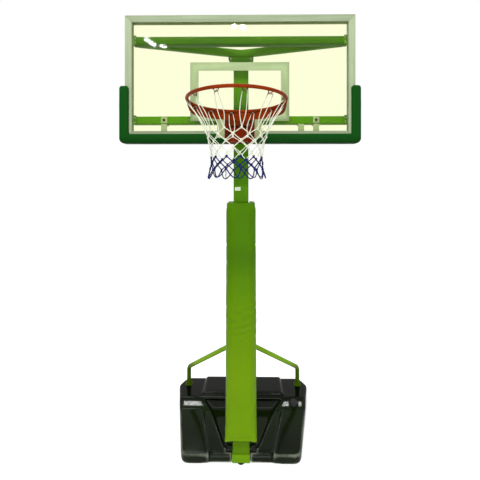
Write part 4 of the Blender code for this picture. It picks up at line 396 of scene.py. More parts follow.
def metal(look, colour, roughness=0.32):
    look.gloss(roughness, BARE_SHINE, Metallic=0.3)
    spangle = look.cells(180)
    look.colour(darker(colour, 0.85))
    look.stain(colour, spangle, 0.1, 0.8)
    look.rough(spangle, 0.1, 0.8, roughness - 0.06, roughness + 0.1)
    look.bump(look.noise(500), 0.00005, 0.5)


def webbing(look, colour):
    """Woven strap: ribs along it crossed by the weft."""
    look.gloss(0.75, 0.1, Sheen_Weight=0.1, Sheen_Roughness=0.4)
    warp = look.maths("PINGPONG", look.times(look.axis("Z"), 620.0), 1.0)
    weft = look.maths("PINGPONG", look.times(look.axis("X"), 500.0), 1.0)
    weave = look.times(warp, weft)
    look.colour(look.mix(weave, darker(colour, 0.5), darker(colour, 1.6)))
    look.bump(weave, 0.0004, 0.8)


def twisted_cord(look, colour, shade):
    """Three strands laid round each other, browner near the hooks with dirt and painted shade."""
    look.gloss(0.8, 0.1, Sheen_Weight=0.05, Sheen_Roughness=0.5)
    lay = look.node("UVMap", settings={"uv_map": "lay"}).outputs["UV"]
    round_cord, along, _ = look.node("SeparateXYZ", lay).outputs
    turns = look.plus(look.times(round_cord, 3.0), along)
    strands = look.ramp(look.maths("PINGPONG", turns, 0.5), 0.0, 0.3)
    fibres = look.noise(900, 3)
    look.colour(shade)
    look.stain(colour, strands)
    # Dirt and painted shade: the cords turn brown near the hooks, under the ring.
    look.stain(rgb(92, 62, 34), look.axis("Z"), RIM_HEIGHT - 0.034, RIM_HEIGHT - 0.016, 0.0, 0.85)
    look.stain(darker(colour, 0.75), fibres, 0.35, 0.7, 0.0, 0.3)
    look.bump(strands, 0.0009, 0.8)
    look.bump(fibres, 0.0002, 0.5)


def printed_line(look, colour):
    look.gloss(0.48, 0.1)
    screen = look.cells(1400)
    look.colour(look.mottled(look.noise(12, 3), colour, 0.95, 1.04))
    look.stain(darker(colour, 0.8), screen, 0.3, 0.8, 0.0, 0.1)
    look.bump(screen, 0.00004, 0.4)


def clear_pane(look, colour):
    """Clear acrylic that tints what is seen through it and the light that passes it."""
    look.gloss(0.0, Transmission_Weight=1.0, IOR=1.2)
    look.colour(colour)
    look.stain(darker(colour, 0.93), look.noise(40, 4, (1, 1, 0.4), 0.7), 0.6, 0.8, 0.0, 0.12)
    look.bump(look.noise(3, 1), 0.0006, 0.15)
    rays = look.node("LightPath").outputs
    through = look.node("BsdfTransparent", Color=colour)
    share = look.maths("MAXIMUM", rays["Is Shadow Ray"], rays["Is Diffuse Ray"])
    look.surface(look.node("MixShader", share, look.shader.outputs[0], through.outputs[0]))


def make_finishes():
    pale = rgb(154, 168, 134)
    recipes = {
        "tank_plastic": (blown_plastic, rgb(13, 23, 4)),
        "green_paint": (powder_coat, rgb(73, 125, 0)),
        # Painted shade: the upper beam takes a darker copy of the mast's green.
        "top_beam_shaded_paint": (powder_coat, rgb(51, 96, 0)),
        "bright_green_paint": (powder_coat, rgb(106, 150, 12)),
        "strut_paint": (strut_coat, rgb(120, 164, 12)),
        # Painted shade: the lower pole under the pad takes a darker copy of the bright green.
        "lower_pole_shaded_paint": (powder_coat, rgb(86, 124, 6)),
        "pole_pad_vinyl": (vinyl, rgb(109, 148, 8), rgb(71, 118, 0)),
        "edge_pad_foam": (foam_skin, rgb(10, 66, 12)),
        # Painted light and shade: the top and bottom rails are a darker copy of the uprights' aluminium.
        "frame_aluminium": (brushed, darker(pale, 0.80), (0.02, 1, 1)),
        "frame_upright": (brushed, pale, (1, 1, 0.02)),
        "pane_glass": (clear_pane, (0.985, 1.0, 0.70, 1.0)),
        "square_paint": (printed_line, rgb(160, 178, 130)),
        "rim_paint": (rim_coat, rgb(126, 42, 0)),
        # Painted shade: the housing below the ring takes a darker copy of the rim's red.
        "housing_shaded_paint": (powder_coat, rgb(108, 29, 0), 0.4),
        "zinc": (metal, rgb(134, 152, 166)),
        "grey_paint": (powder_coat, rgb(156, 167, 119), 0.42),
        "bracket_paint": (powder_coat, rgb(152, 166, 180), 0.42),
        "gasket_rubber": (moulded, rgb(112, 126, 98), 0.6, 500),
        "black_plastic": (moulded, rgb(22, 22, 22)),
        "black_steel": (metal, rgb(46, 48, 46), 0.38),
        "rubber": (moulded, rgb(26, 26, 25), 0.75, 500),
        "net_white": (twisted_cord, rgb(240, 244, 222), rgb(190, 196, 170)),
        "net_blue": (twisted_cord, rgb(18, 32, 92), rgb(5, 9, 42)),
        "strap_webbing": (webbing, rgb(24, 25, 24)),
        "pad_thread": (moulded, rgb(70, 104, 14), 0.7, 1500),
        "label_film": (moulded, rgb(212, 220, 196), 0.4, 1200),
    }
    finishes = {}
    for name, (paint, *values) in recipes.items():
        look = Look(name)
        paint(look, *values)
        finishes[name] = look.material
    return finishes


# Stage

def make_world():
    """White where it is seen, and half as bright as a light."""
    world = bpy.data.worlds.new("world")
    SCENE.world = world
    nodes = Nodes(world)
    background = nodes.tree.nodes["Background"]
    nodes.feed(background.inputs["Color"], (1, 1, 1, 1))
    nodes.feed(background.inputs["Strength"], nodes.ramp(nodes.seen(), 0.0, 1.0, 0.5, 1.0))


def floor_white():
    """White that glows where it is seen, but not under the tank, which widens towards its back."""
    tank_middle, tank_half_depth, glow_strength = 0.425, 0.325, 0.60
    look = Look("floor_white")
    look.gloss(0.9)
    look.colour((0.86, 0.86, 0.86, 1.0))
    tank_half_width = look.ramp(look.axis("Y"), 0.08, 0.68, 0.375, 0.515)
    across = look.maths("DIVIDE", look.maths("ABSOLUTE", look.axis("X")), tank_half_width)
    deep = look.maths("ABSOLUTE", look.maths("SUBTRACT", look.axis("Y"), tank_middle))
    deep = look.maths("DIVIDE", deep, tank_half_depth)
    open_floor = look.ramp(look.maths("MAXIMUM", across, deep), 0.96, 1.02)
    strength = look.times(look.times(look.seen(), glow_strength), open_floor)
    glow = look.node("Emission", Strength=strength)
    look.surface(look.node("AddShader", look.shader.outputs[0], glow.outputs[0]))
    return look.material


def make_floor():
    reach = 20
    mesh = bpy.data.meshes.new("floor")
    corners = [(-reach, -reach, 0), (reach, -reach, 0), (reach, reach, 0), (-reach, reach, 0)]
    mesh.from_pydata(corners, [], [(0, 1, 2, 3)])
    mesh.materials.append(floor_white())
    floor = add("floor", mesh)


# Name, place, target, size in metres, power in watts and turn in degrees.
# The tank's steps mirror the ceiling panels, and the pane mirrors the spots and streaks.
LAMPS = (
    ("ceiling_left", (-1.255, -2.77, 4.7), (-0.42, 0.49, 0.13), (0.52, 0.22), 50, 0),
    ("ceiling_right", (0.985, -2.77, 4.7), (0.39, 0.49, 0.13), (0.52, 0.22), 50, 0),
    ("spot_0", (-0.228, -3.863, 4.66), (0, -0.15, 2.8), (0.085, 0.10), 6, 0),
    ("spot_1", (-0.075, -3.863, 4.64), (0, -0.15, 2.8), (0.085, 0.10), 6, 0),
    ("streak_0", (-1.732, -3.863, 4.383), (-0.53, -0.15, 2.73), (0.22, 0.07), 7, -28),
    ("streak_1", (-1.491, -3.863, 4.307), (-0.45, -0.15, 2.71), (0.13, 0.06), 4, -12),
    ("front", (0.5, -4.2, 1.2), (0, 0, 1.0), (2.6, 1.6), 51, 0),
    ("back", (-1.8, 3.0, 5.9), (0, 0, 1.4), (2.4, 1.8), 55, 0),
)


def make_lamps():
    for name, place, target, size, power, turn in LAMPS:
        data = bpy.data.lights.new(name, "AREA")
        data.shape = "RECTANGLE"
        data.size, data.size_y = size
        data.energy = power
        lamp = add(name, data)
        lamp.location = place
        aim = (Vector(target) - Vector(place)).to_track_quat("-Z", "Y")
        lamp.rotation_euler = (aim @ Quaternion((0, 0, 1), radians(turn))).to_euler()
        lamp.visible_camera = False


# Mesh helpers

def piece(name, shell, finishes, body, keen=40):
    bmesh.ops.recalc_face_normals(shell, faces=shell.faces)
    mesh = bpy.data.meshes.new(name)
    shell.to_mesh(mesh)
    shell.free()
    for finish in finishes:
        mesh.materials.append(FINISHES[finish])
    mesh.shade_smooth()
    mesh.set_sharp_from_angle(angle=radians(keen))
    obj = add(name, mesh)
    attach(obj, body)
    return obj


def modify(obj, name, kind, **settings):
    modifier = obj.modifiers.new(name, kind)
    for key, value in settings.items():
        setattr(modifier, key, value)


def bridge(shell, low, high, finish=0, uv=None, spans=None, turn=0):
    """Faces between two closed rows of points."""
    count = len(low)
    for i in range(count):
        j = (i + 1) % count
        face = shell.faces.new((low[i], low[j], high[(j + turn) % count], high[(i + turn) % count]))
        face.material_index = finish
        if uv:
            shares = (i / count, (i + 1) / count, (i + 1) / count, i / count)
            for loop, share, along in zip(face.loops, shares, (spans[0], spans[0], spans[1], spans[1])):
                loop[uv].uv = (share, along)


def skin(shell, rows, capped=True):
    """Faces along closed rows of points, and over both ends; gives the rows' vertices."""
    rows = [[shell.verts.new(point) for point in row] for row in rows]
    for low, high in zip(rows, rows[1:]):
        bridge(shell, low, high)
    if capped:
        shell.faces.new(rows[0])
        shell.faces.new(rows[-1])
    return rows


def sweep(shell, points, radius, sides=8, closed=False, finish=0, pitch=0.016):
    """A round bar along points; U runs round it and V counts its lay."""
    uv = shell.loops.layers.uv.get("lay") or shell.loops.layers.uv.new("lay")
    points = [Vector(point) for point in points]
    count = len(points)
    side = None
    rows, spans, run = [], [], 0.0
    for k, point in enumerate(points):
        if closed:
            forward = points[(k + 1) % count] - points[k - 1]
        else:
            forward = points[min(k + 1, count - 1)] - points[max(k - 1, 0)]
        forward.normalize()
        side = side or forward.orthogonal()
        side = (side - forward * side.dot(forward)).normalized()
        up = forward.cross(side)
        size = radius(k / (count - 1)) if callable(radius) else radius
        rows.append([
            shell.verts.new(point + size * (side * cos(turn) + up * sin(turn)))
            for turn in (2 * pi * s / sides for s in range(sides))
        ])
        spans.append(run / pitch)
        run += (points[(k + 1) % count] - point).length
    for k in range(count - 1):
        bridge(shell, rows[k], rows[k + 1], finish, uv, (spans[k], spans[k + 1]))
    if closed:
        turn = best_turn(rows[-1], rows[0])
        bridge(shell, rows[-1], rows[0], finish, uv, (spans[-1], run / pitch), turn)
    else:
        for row in (rows[0], rows[-1]):
            shell.faces.new(row).material_index = finish


def best_turn(last, first):
    """How many points the first row is turned by to lie nearest to the last."""
    count = len(first)

    def apart(turn):
        return sum((last[i].co - first[(i + turn) % count].co).length for i in range(count))

    return min(range(count), key=apart)


def smooth_path(points, steps):
    """Points on a Catmull-Rom curve through the given ones."""
    points = [Vector(point) for point in points]
    ends = [2 * points[0] - points[1], *points, 2 * points[-1] - points[-2]]
    path = []
    for a, b, c, d in zip(ends, ends[1:], ends[2:], ends[3:]):
        for step in range(steps):
            t = step / steps
            place = 2 * b + (c - a) * t
            place += (2 * a - 5 * b + 4 * c - d) * t * t
            place += (3 * b - a - 3 * c + d) * t ** 3
            path.append(0.5 * place)
    path.append(points[-1])
    return path


def rounded(corners, radii, steps=4):
    """An outline whose corners are arcs of the given radii."""
    points = []
    count = len(corners)
    for k, (corner, radius) in enumerate(zip(corners, radii)):
        here = Vector(corner)
        before = (Vector(corners[k - 1]) - here).normalized()
        after = (Vector(corners[(k + 1) % count]) - here).normalized()
        half = before.angle(after) / 2
        centre = here + (before + after).normalized() * radius / sin(half)
        start = here + before * radius / tan(half) - centre
        turn = start.angle_signed(here + after * radius / tan(half) - centre)
        for step in range(steps + 1):
            angle = -turn * step / steps
            points.append((
                centre.x + start.x * cos(angle) - start.y * sin(angle),
                centre.y + start.x * sin(angle) + start.y * cos(angle),
            ))
    return points


def rounded_box(low, high, radius, steps=4):
    """A rectangle between two opposite corners, all four rounded alike."""
    corners = [low, (high[0], low[1]), high, (low[0], high[1])]
    return rounded(corners, [radius] * 4, steps)


def quarter(run, radius):
    """How far a rounded edge draws in at this distance from its end."""
    return radius - sqrt(max(radius ** 2 - (radius - min(run, radius)) ** 2, 0.0))


def ring_point(angle, radius, z):
    """A point at this angle round the ring, counted from the front."""
    return (radius * sin(angle), RING_Y - radius * cos(angle), z)


def stitches(shell, path, spacing, length, radius):
    """Short raised threads along a path."""
    run = 0.0
    due = spacing / 2
    for start, end in zip(path, path[1:]):
        span = (end - start).length
        while due <= run + span and span > 0:
            middle = start + (end - start) * ((due - run) / span)
            along = (end - start).normalized()
            side = along.orthogonal().normalized()
            up = along.cross(side)
            tips = [shell.verts.new(middle + along * s * length / 2) for s in (-1, 1)]
            belt = [shell.verts.new(middle + radius * v) for v in (side, up, -side, -up)]
            for i in range(4):
                for tip in tips:
                    shell.faces.new((tip, belt[i], belt[(i + 1) % 4]))
            due += spacing
        run += span


# Padding of the pole

def pad_flare(z):
    """How far a level lies into the pad's flared foot: 0 above it and 1 at the bottom."""
    return max(0.0, 1 - (z - PAD_BOTTOM) / PAD_FLARE) ** 2


def pad_section(z):
    """The pad's outer outline at one level, from the back right edge round the front to the left."""
    share = (PAD_TOP - z) / (PAD_TOP - PAD_BOTTOM)
    from_top, from_bottom = PAD_TOP - z, z - PAD_BOTTOM
    inset = quarter(from_top, 0.010) + quarter(from_bottom, 0.006) - 0.009 * pad_flare(z)
    half = (PAD_WIDTHS[1] + (PAD_WIDTHS[0] - PAD_WIDTHS[1]) * share) / 2 - inset
    face = PAD_FRONT + inset
    corner, edge = PAD_CORNER, PAD_REAR_CORNER
    rear = PAD_BACK - quarter(min(from_top, from_bottom), 0.006)
    right = []
    for step in range(4):
        angle = radians(90 * step / 3)
        right.append((half - edge * (1 - sin(angle)), rear - edge * (1 - cos(angle))))
    for step in range(1, 12):
        right.append((half, rear - edge + (face + corner - rear + edge) * step / 12))
    for step in range(6):
        angle = radians(90 * step / 5)
        right.append((half - corner * (1 - cos(angle)), face + corner * (1 - sin(angle))))
    for step in range(1, 8):
        along = 1 - step / 7
        right.append((along * (half - corner), face - 0.0040 * (1 - along * along)))
    return right + [(-x, y) for x, y in reversed(right[:-1])]


def pad_channel(count):
    """This many points along the channel that takes the pole, from right to left."""
    first = round(count * 0.36)
    last = count - 1 - first
    back, front = PAD_BACK - 0.001, POLE_FRONT - GAP
    side = [(PAD_CHANNEL, back + (front - back) * k / first) for k in range(first + 1)]
    across = [(PAD_CHANNEL * (1 - 2 * (k - first) / (last - first)), front) for k in range(first + 1, last)]
    return side + across + [(-x, y) for x, y in reversed(side)]


def strap_creases(x, z, place):
    """Small creases in the cover beside the straps."""
    shift = 0.0
    for strap in STRAPS.values():
        near = exp(-((z - strap + 0.02) / 0.10) ** 2)
        tilt = z + 0.22 * x * (1 if x > 0 else -0.6) + 0.012 * noise.noise(place * 11)
        crease = sin(2 * pi * tilt / 0.043)
        shift += 0.0009 * near * crease * (0.5 + 0.5 * noise.noise(place * 5 + Vector((3, 1, 0))))
    return shift


def bump_folds(x, z, place):
    """Deeper slanting folds where the pad is bumped most."""
    level, reach, pitch = 0.99, 0.14, 0.064
    local_weight = exp(-((z - level) / reach) ** 2)
    tilt = z + 0.30 * x + 0.010 * noise.noise(place * 9)
    fold = max(0.0, sin(2 * pi * tilt / pitch)) ** 3
    return 0.0042 * local_weight * fold * (0.55 + 0.45 * sin(11 * x + 0.8))


def pad_crease(x, y, z):
    """How far the cover stands out or in at a point."""
    place = Vector((x, y, z))
    return 0.0010 * noise.noise(place * 7) + strap_creases(x, z, place) + bump_folds(x, z, place)


def pad_levels():
    """Heights of the pad's rows, closer together at its hems."""
    close = (0, 0.0015, 0.004, 0.008, 0.0125, 0.0130, 0.018, 0.024)
    margin, steps = 0.030, 112
    span = PAD_TOP - PAD_BOTTOM - 2 * margin
    levels = [PAD_BOTTOM + run for run in close]
    levels += [PAD_BOTTOM + (margin + span * k / steps) for k in range(steps + 1)]
    return levels + [PAD_TOP - run for run in reversed(close)]


def pad_row(z):
    """The cover's points at one level, and which of them are held while it is blown up."""
    outline = pad_section(z)
    end = min(PAD_TOP - z, z - PAD_BOTTOM)
    hem = 0.0009 if end < 0.0128 else 0.0
    beside_strap = any(abs(z - strap) < 0.028 for strap in STRAPS.values())
    row, held = [], []
    for k, (x, y) in enumerate(outline):
        before, after = outline[max(k - 1, 0)], outline[min(k + 1, len(outline) - 1)]
        along = Vector((after[0] - before[0], after[1] - before[1])).normalized()
        out = Vector((along.y, -along.x))
        if out.x * x + out.y * (y - PAD_MIDDLE) < 0:
            out = -out
        push = hem + pad_crease(x, y, z) * min(1.0, end / 0.03)
        droop = 0.015 * pad_flare(z) * (x / 0.10) ** 4
        row.append((x + out.x * push, min(y + out.y * push, PAD_BACK), z - droop))
        held.append(end < 0.026 or y > PAD_BACK - (0.05 if beside_strap else 0.012))
    channel = [(x, y, z) for x, y in reversed(pad_channel(len(outline)))]
    return row + channel, held + [True] * len(channel)


def blow_up(pad, cap):
    """Cloth under a little pressure lets the cover swell; what is held stays where it is."""
    frames = 20
    mesh = pad.data
    start = [vertex.co.copy() for vertex in mesh.vertices]
    modifier = pad.modifiers.new("fill", "CLOTH")
    cloth = modifier.settings
    cloth.quality = 6
    cloth.mass = 0.3
    cloth.tension_stiffness = cloth.compression_stiffness = 18
    cloth.shear_stiffness = 8
    cloth.bending_stiffness = 0.6
    cloth.shrink_min = -0.012
    cloth.use_pressure = True
    cloth.uniform_pressure_force = 4.0
    cloth.effector_weights.gravity = 0
    cloth.vertex_group_mass = "held"
    cloth.pin_stiffness = 1.0
    modifier.point_cache.frame_start = 1
    modifier.point_cache.frame_end = frames
    for step in range(1, frames + 1):
        SCENE.frame_set(step)
    solved = pad.evaluated_get(bpy.context.evaluated_depsgraph_get())
    moved = [vertex.co.copy() for vertex in solved.data.vertices]
    pad.modifiers.remove(modifier)
    SCENE.frame_set(1)
    for vertex, before, after in zip(mesh.vertices, start, moved):
        shift = after - before
        if shift.length > cap:
            shift = shift.normalized() * cap
        vertex.co = before + shift
    mesh.update()


def make_pole_pad():
    shell = bmesh.new()
    rows, slack = [], []
    for z in pad_levels():
        points, held = pad_row(z)
        rows.append([at(*point) for point in points])
        slack += held
    rows = skin(shell, rows, capped=False)
    count = len(rows[0]) // 2
    for row in (rows[0], rows[-1]):
        for k in range(count - 1):
            shell.faces.new((row[k], row[k + 1], row[-2 - k], row[-1 - k]))
    pad = piece("pole_pad_cover", shell, ["pole_pad_vinyl"], "base", 50)
    group = pad.vertex_groups.new(name="held")
    for index, held in enumerate(slack):
        group.add([index], float(held), "REPLACE")
    blow_up(pad, 0.006)
    modify(pad, "subdivision", "SUBSURF", levels=1, render_levels=1)
    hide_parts("pole_pad")
    stitch_pole_pad(pad.data.vertices, len(rows), count)


def stitch_pole_pad(places, levels, count):
    """Threads round the cover beside its hems."""
    seam_level = 6
    middle = at(0, PAD_MIDDLE, 0)
    shell = bmesh.new()
    for level in (seam_level, levels - 1 - seam_level):
        first = level * 2 * count
        path = []
        for vertex in places[first:first + count]:
            out = vertex.co - middle
            out.z = 0
            path.append(vertex.co + out.normalized() * 0.0004)
        stitches(shell, path, 0.007, 0.0042, 0.0006)
    thread = piece("pole_pad_stitching", shell, ["pad_thread"], "base")


def strap_row(section, x, z):
    """The webbing's points at one place across, slightly wavy and drawn in at its ends."""
    tip = 0.004
    end = quarter(STRAP_HALF - abs(x), tip) * 0.3
    lift = max(0.0002 * sin(x * 160), 0)
    thin, narrow = 1 - end / tip, 1 - end * 3
    return [at(x, STRAP_NEAR + (y - STRAP_NEAR) * thin + lift, z + u * narrow) for u, y in section]


def stitch_strap(name, z):
    """Stitching in a crossed box on the plain end and on the lap."""
    half = 0.020
    plain, lapped = STRAP_FAR + 0.0003, LAP_LEVEL + LAP_THICK + 0.0001
    shell = bmesh.new()
    for low, high, level in ((-0.084, -0.060, plain), (0.060, 0.0805, lapped)):
        box = [(low, -half), (high, -half), (high, half), (low, half), (low, -half), (high, half)]
        stitches(shell, [at(x, level, z + u) for x, u in box], 0.0042, 0.003, 0.0004)
    thread = piece(f"pad_strap_{name}_stitching", shell, ["label_film"], "base")


def make_straps():
    """Webbing straps across the pad's back, each with a hook-and-loop lap and its stitching."""
    steps = 40
    lap_half = STRAP_WIDE - 0.001
    section = rounded_box((-STRAP_WIDE, STRAP_NEAR), (STRAP_WIDE, STRAP_FAR), 0.0006, 2)
    lap = rounded_box((-lap_half, LAP_LEVEL), (lap_half, LAP_LEVEL + LAP_THICK), 0.0005, 2)
    for name, z in STRAPS.items():
        shell = bmesh.new()
        places = [-STRAP_HALF + 2 * STRAP_HALF * k / steps for k in range(steps + 1)]
        skin(shell, [strap_row(section, x, z) for x in places])
        skin(shell, [[at(x, y, z + u) for u, y in lap] for x in (0.012, 0.030, 0.055, 0.0845)])
        strap = piece(f"pad_strap_{name}_webbing", shell, ["strap_webbing"], "base")
        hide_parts(f"pad_strap_{name}")
        stitch_strap(name, z)


# Padding of the board's lower edge

def edge_pad_section():
    """Its outline across the edge, as the distance outside the board's edge and the depth."""
    return rounded(
        [(-EDGE_LAP, -GAP), (-EDGE_LAP, EDGE_FRONT), (EDGE_REACH, EDGE_FRONT), (EDGE_REACH, EDGE_BACK),
         (-EDGE_BACK_LAP, EDGE_BACK), (-EDGE_BACK_LAP, RAIL_BACK), (GAP, RAIL_BACK), (GAP, -GAP)],
        [0.001, 0.007, 0.013, 0.010, 0.004, 0.001, 0.0002, 0.0002], 5,
    )


def edge_pad_stations():
    """Where its sections lie, from the left side's top down and round to the right side's."""
    close = (0.0, 0.0005, 0.0018, 0.004, 0.007, 0.011, 0.0155, 0.020, EDGE_END)
    side = [("side", run) for run in close]
    straight = EDGE_SIDE - EDGE_END - EDGE_CORNER
    side += [("side", EDGE_END + straight * k / 14) for k in range(1, 15)]
    turns = [90 * k / 9 for k in range(10)]
    even = (-0.656 + 0.032 * k for k in range(17))
    left = [x for x in even if x < -PLATE_HALF - 0.003]
    left += [-PLATE_HALF - 0.0012, -PLATE_HALF, -PLATE_HALF + 0.0008, -0.120, -0.105]
    left += [-HOUSING_HALF - 0.001, -HOUSING_HALF, -HOUSING_HALF + 0.0008, -0.06, -0.03]
    return [
        *side,
        *(("corner", turn) for turn in turns),
        *(("bottom", x) for x in left),
        ("bottom", 0.0),
        *(("bottom", -x) for x in reversed(left)),
        *(("corner_right", turn) for turn in reversed(turns)),
        *(("side_right", run) for _, run in reversed(side)),
    ]


def edge_pad_sway(n, y, run):
    """How uneven the foam is away from the board."""
    if -0.02 <= n <= 0.01:
        return 0
    return 0.0005 * noise.noise(Vector((n * 30, y * 20, run * 12)))


def edge_pad_point(kind, run, n, y):
    """A section's point, n outside the board's edge; the ends are rounded and the middle clears the rim."""
    if kind.startswith("side"):
        n = min(max(n, -EDGE_LAP + quarter(run, 0.0175)), EDGE_REACH - quarter(run, EDGE_END))
        y = min(max(y, EDGE_FRONT + quarter(run, 0.008)), EDGE_BACK - quarter(run, 0.006))
        x, z = -BOARD_HALF - n - edge_pad_sway(n, y, run), BOARD_BOTTOM + EDGE_SIDE - run
    elif kind.startswith("corner"):
        across, down = (cos(radians(run)), sin(radians(run))) if n >= 0 else (1, 1)
        x, z = -BOARD_HALF - n * across, BOARD_BOTTOM - n * down
    else:
        if abs(run) < PLATE_HALF and y < 0.02:
            n = max(n, 0.004)
        if abs(run) < HOUSING_HALF:
            y = max(y, -0.0063)
        x, z = run, BOARD_BOTTOM - n + edge_pad_sway(n, y, run)
    return at(-x if kind.endswith("right") else x, y, z)


def make_edge_pad():
    section = edge_pad_section()
    shell = bmesh.new()
    skin(shell, [[edge_pad_point(*station, n, y) for n, y in section] for station in edge_pad_stations()])
    bmesh.ops.remove_doubles(shell, verts=shell.verts, dist=1e-5)
    pad = piece("edge_pad_cover", shell, ["edge_pad_foam"], "mast", 50)
    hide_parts("board_padding")


# Net

def round_net(k):
    """Angle of a place round the net, counted in hooks."""
    return radians(HOOK_TURN) + 2 * pi / HOOKS * k


def knot_place(row, k):
    """Each second row is turned by half a mesh."""
    drop, radius = NET_ROWS[row]
    return at(*ring_point(round_net(k + row % 2 / 2), radius, RIM_HEIGHT - drop))


def lay_cord(shell, path, blue, thickness=1.0, sides=8, closed=False):
    radius = (BLUE_CORD if blue else WHITE_CORD) * thickness
    sweep(shell, path, radius, sides, closed, int(blue), CORD_PITCH)


def tie_knot(shell, place, blue):
    """A trefoil knot, taller than wide, each turned a little differently."""
    axis, up = at(0, RING_Y, 0), Vector((0, 0, 1))
    out = Vector((place.x - axis.x, place.y - axis.y, 0)).normalized()
    across = up.cross(out)
    turn = 0.5 * noise.noise(place * 60)
    path = []
    for step in range(KNOT_STEPS):
        t = 2 * pi * step / KNOT_STEPS + turn
        u = KNOT_SIZE * (sin(t) + 2 * sin(2 * t))
        v = KNOT_SIZE * (cos(t) - 2 * cos(2 * t))
        w = 1.25 * KNOT_SIZE * -sin(3 * t)
        path.append(place + across * u * 0.86 + up * v * 1.15 + out * w)
    lay_cord(shell, path, blue, 0.94, 6, closed=True)


def lay_leg(shell, first, last, blue, slack):
    """A cord between two knots that bends by its slack."""
    middle = (first + last) / 2
    bend = Vector((noise.noise(middle * 40), noise.noise(middle * 40 + Vector((9, 0, 0))), -0.4)) * 0.0016
    shares = [k / 6 for k in range(7)]
    path = [first + (last - first) * share + bend * sin(pi * share) * slack for share in shares]
    lay_cord(shell, path, blue)


def lay_meshes(shell):
    """The knots of all rows, each with its two cords to the row below."""
    for row in range(len(NET_ROWS)):
        blue = row >= NET_BLUE_ROW
        beside = -1 if row % 2 == 0 else 1
        for k in range(HOOKS):
            place = knot_place(row, k)
            tie_knot(shell, place, blue)
            if row < len(NET_ROWS) - 1:
                lay_leg(shell, place, knot_place(row + 1, k), blue, 1.0)
                lay_leg(shell, place, knot_place(row + 1, (k + beside) % HOOKS), blue, 1.3)


def hang_on_hook(shell, k):
    """The loop over a hook, from the knot below it and back."""
    angle = round_net(k)

    def beside_hook(along, out, up):
        x, y, z = ring_point(angle, HOOK_RADIUS + out, HOOK_Z + up)
        return at(x + along * cos(angle), y + along * sin(angle), z)

    leg, out, up = LOOP_LEG
    over = [beside_hook(*offset) for offset in HOOK_LOOP]
    knot = knot_place(0, k)
    path = [knot, beside_hook(-leg, out, up), *over, beside_hook(leg, out, up), knot]
    lay_cord(shell, smooth_path(path, 6), False)


def hang_tip(shell, k):
    """A loop below the last row, each hanging a little differently."""
    last = len(NET_ROWS) - 1
    last_drop, last_radius = NET_ROWS[last]
    sway = 0.16 * sin(2.4 * k + 0.7)
    hang = 1 - 0.16 * (k * 5 % 3) / 2
    path = [knot_place(last, k)]
    for share in (0.2, 0.4, 0.6, 0.8):
        sag = sin(share * pi) * hang
        radius = last_radius + (NET_TIP_RADIUS - last_radius) * sag
        drop = last_drop + (NET_TIP_DROP - last_drop) * sag
        angle = round_net(k + last % 2 / 2 + share + sway * sag)
        path.append(at(*ring_point(angle, radius, RIM_HEIGHT - drop)))
    path.append(knot_place(last, (k + 1) % HOOKS))
    lay_cord(shell, smooth_path(path, 3), True)


def hang_tail(shell):
    """The cord's end below its last knot, thinner towards its frayed tip."""
    strands = 5
    end = knot_place(len(NET_ROWS) - 1, HOOKS - 1)
    tail = [end + Vector((0.001 * sin(2.2 * s), -0.003 - 0.0006 * s, -0.0062 * s)) for s in range(7)]
    sweep(shell, smooth_path(tail, 3), lambda s: WHITE_CORD * (1 - 0.25 * s), finish=1, pitch=0.012)
    for s in range(strands):
        turn = 2 * pi * s / strands
        tip = tail[-1] + Vector((0.003 * cos(turn), 0.003 * sin(turn), -0.007 - 0.001 * (s % 2)))
        sweep(shell, [tail[-1], (tail[-1] + tip) / 2 + Vector((0, 0, -0.001)), tip], 0.0007, 5, finish=1)


def make_net():
    shell = bmesh.new()
    lay_meshes(shell)
    for k in range(HOOKS):
        hang_on_hook(shell, k)
        hang_tip(shell, k)
    hang_tail(shell)
    net = piece("net_cords", shell, ["net_white", "net_blue"], "rim", 60)
    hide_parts("net")


# Small details

def bead(shell, path, radius, closed=False):
    """A weld bead: a bar whose thickness ripples along it."""
    path = [Vector(point) for point in path]
    length = sum((b - a).length for a, b in zip(path, path[1:]))
    steps = max(4, int(length / 0.0022))
    spans = list(zip(path, path[1:] + (path[:1] if closed else [])))
    per = max(1, round(steps / len(spans)))
    dense = [a + (b - a) * k / per for a, b in spans for k in range(per)]
    if not closed:
        dense.append(path[-1])
    count = len(dense)
    sweep(shell, dense, lambda s: radius * (1 + 0.16 * sin(s * count * 2.1)), 7, closed)


def circle_path(centre, axis, radius, count=28):
    axis = Vector(axis).normalized()
    side = axis.orthogonal().normalized()
    up = axis.cross(side)
    path = []
    for k in range(count):
        turn = 2 * pi * k / count
        path.append(Vector(centre) + radius * (side * cos(turn) + up * sin(turn)))
    return path


def weld_struts():
    """Beads round the strut ends."""
    shell = bmesh.new()
    bead(shell, circle_path(at(0, 0.3572, 1.655), (0, 1, 0), 0.0168), 0.0018, True)
    for sign in (-1, 1):
        bead(shell, circle_path(at(sign * 0.467, 0.838, 0.1556), (0, 0, 1), 0.0232), 0.002, True)
    beads = piece("strut_welds", shell, ["strut_paint"], "base", 60)


def weld_mast():
    """Beads above and below each beam's ends, and upright ones beside the middle."""
    inner, outer, y, half = 0.633, 0.654, 0.0462, 0.0244
    shell = bmesh.new()
    for z in BEAM_LEVELS:
        for sign in (-1, 1):
            for level in (z - half, z + half):
                bead(shell, [at(sign * inner, y, level), at(sign * outer, y, level)], 0.0018)
    for sign in (-1, 1):
        bead(shell, [at(sign * 0.0032, 0.2436, z) for z in (2.7375, 2.7845)], 0.0018)
    beads = piece("mast_welds", shell, ["green_paint"], "mast", 60)


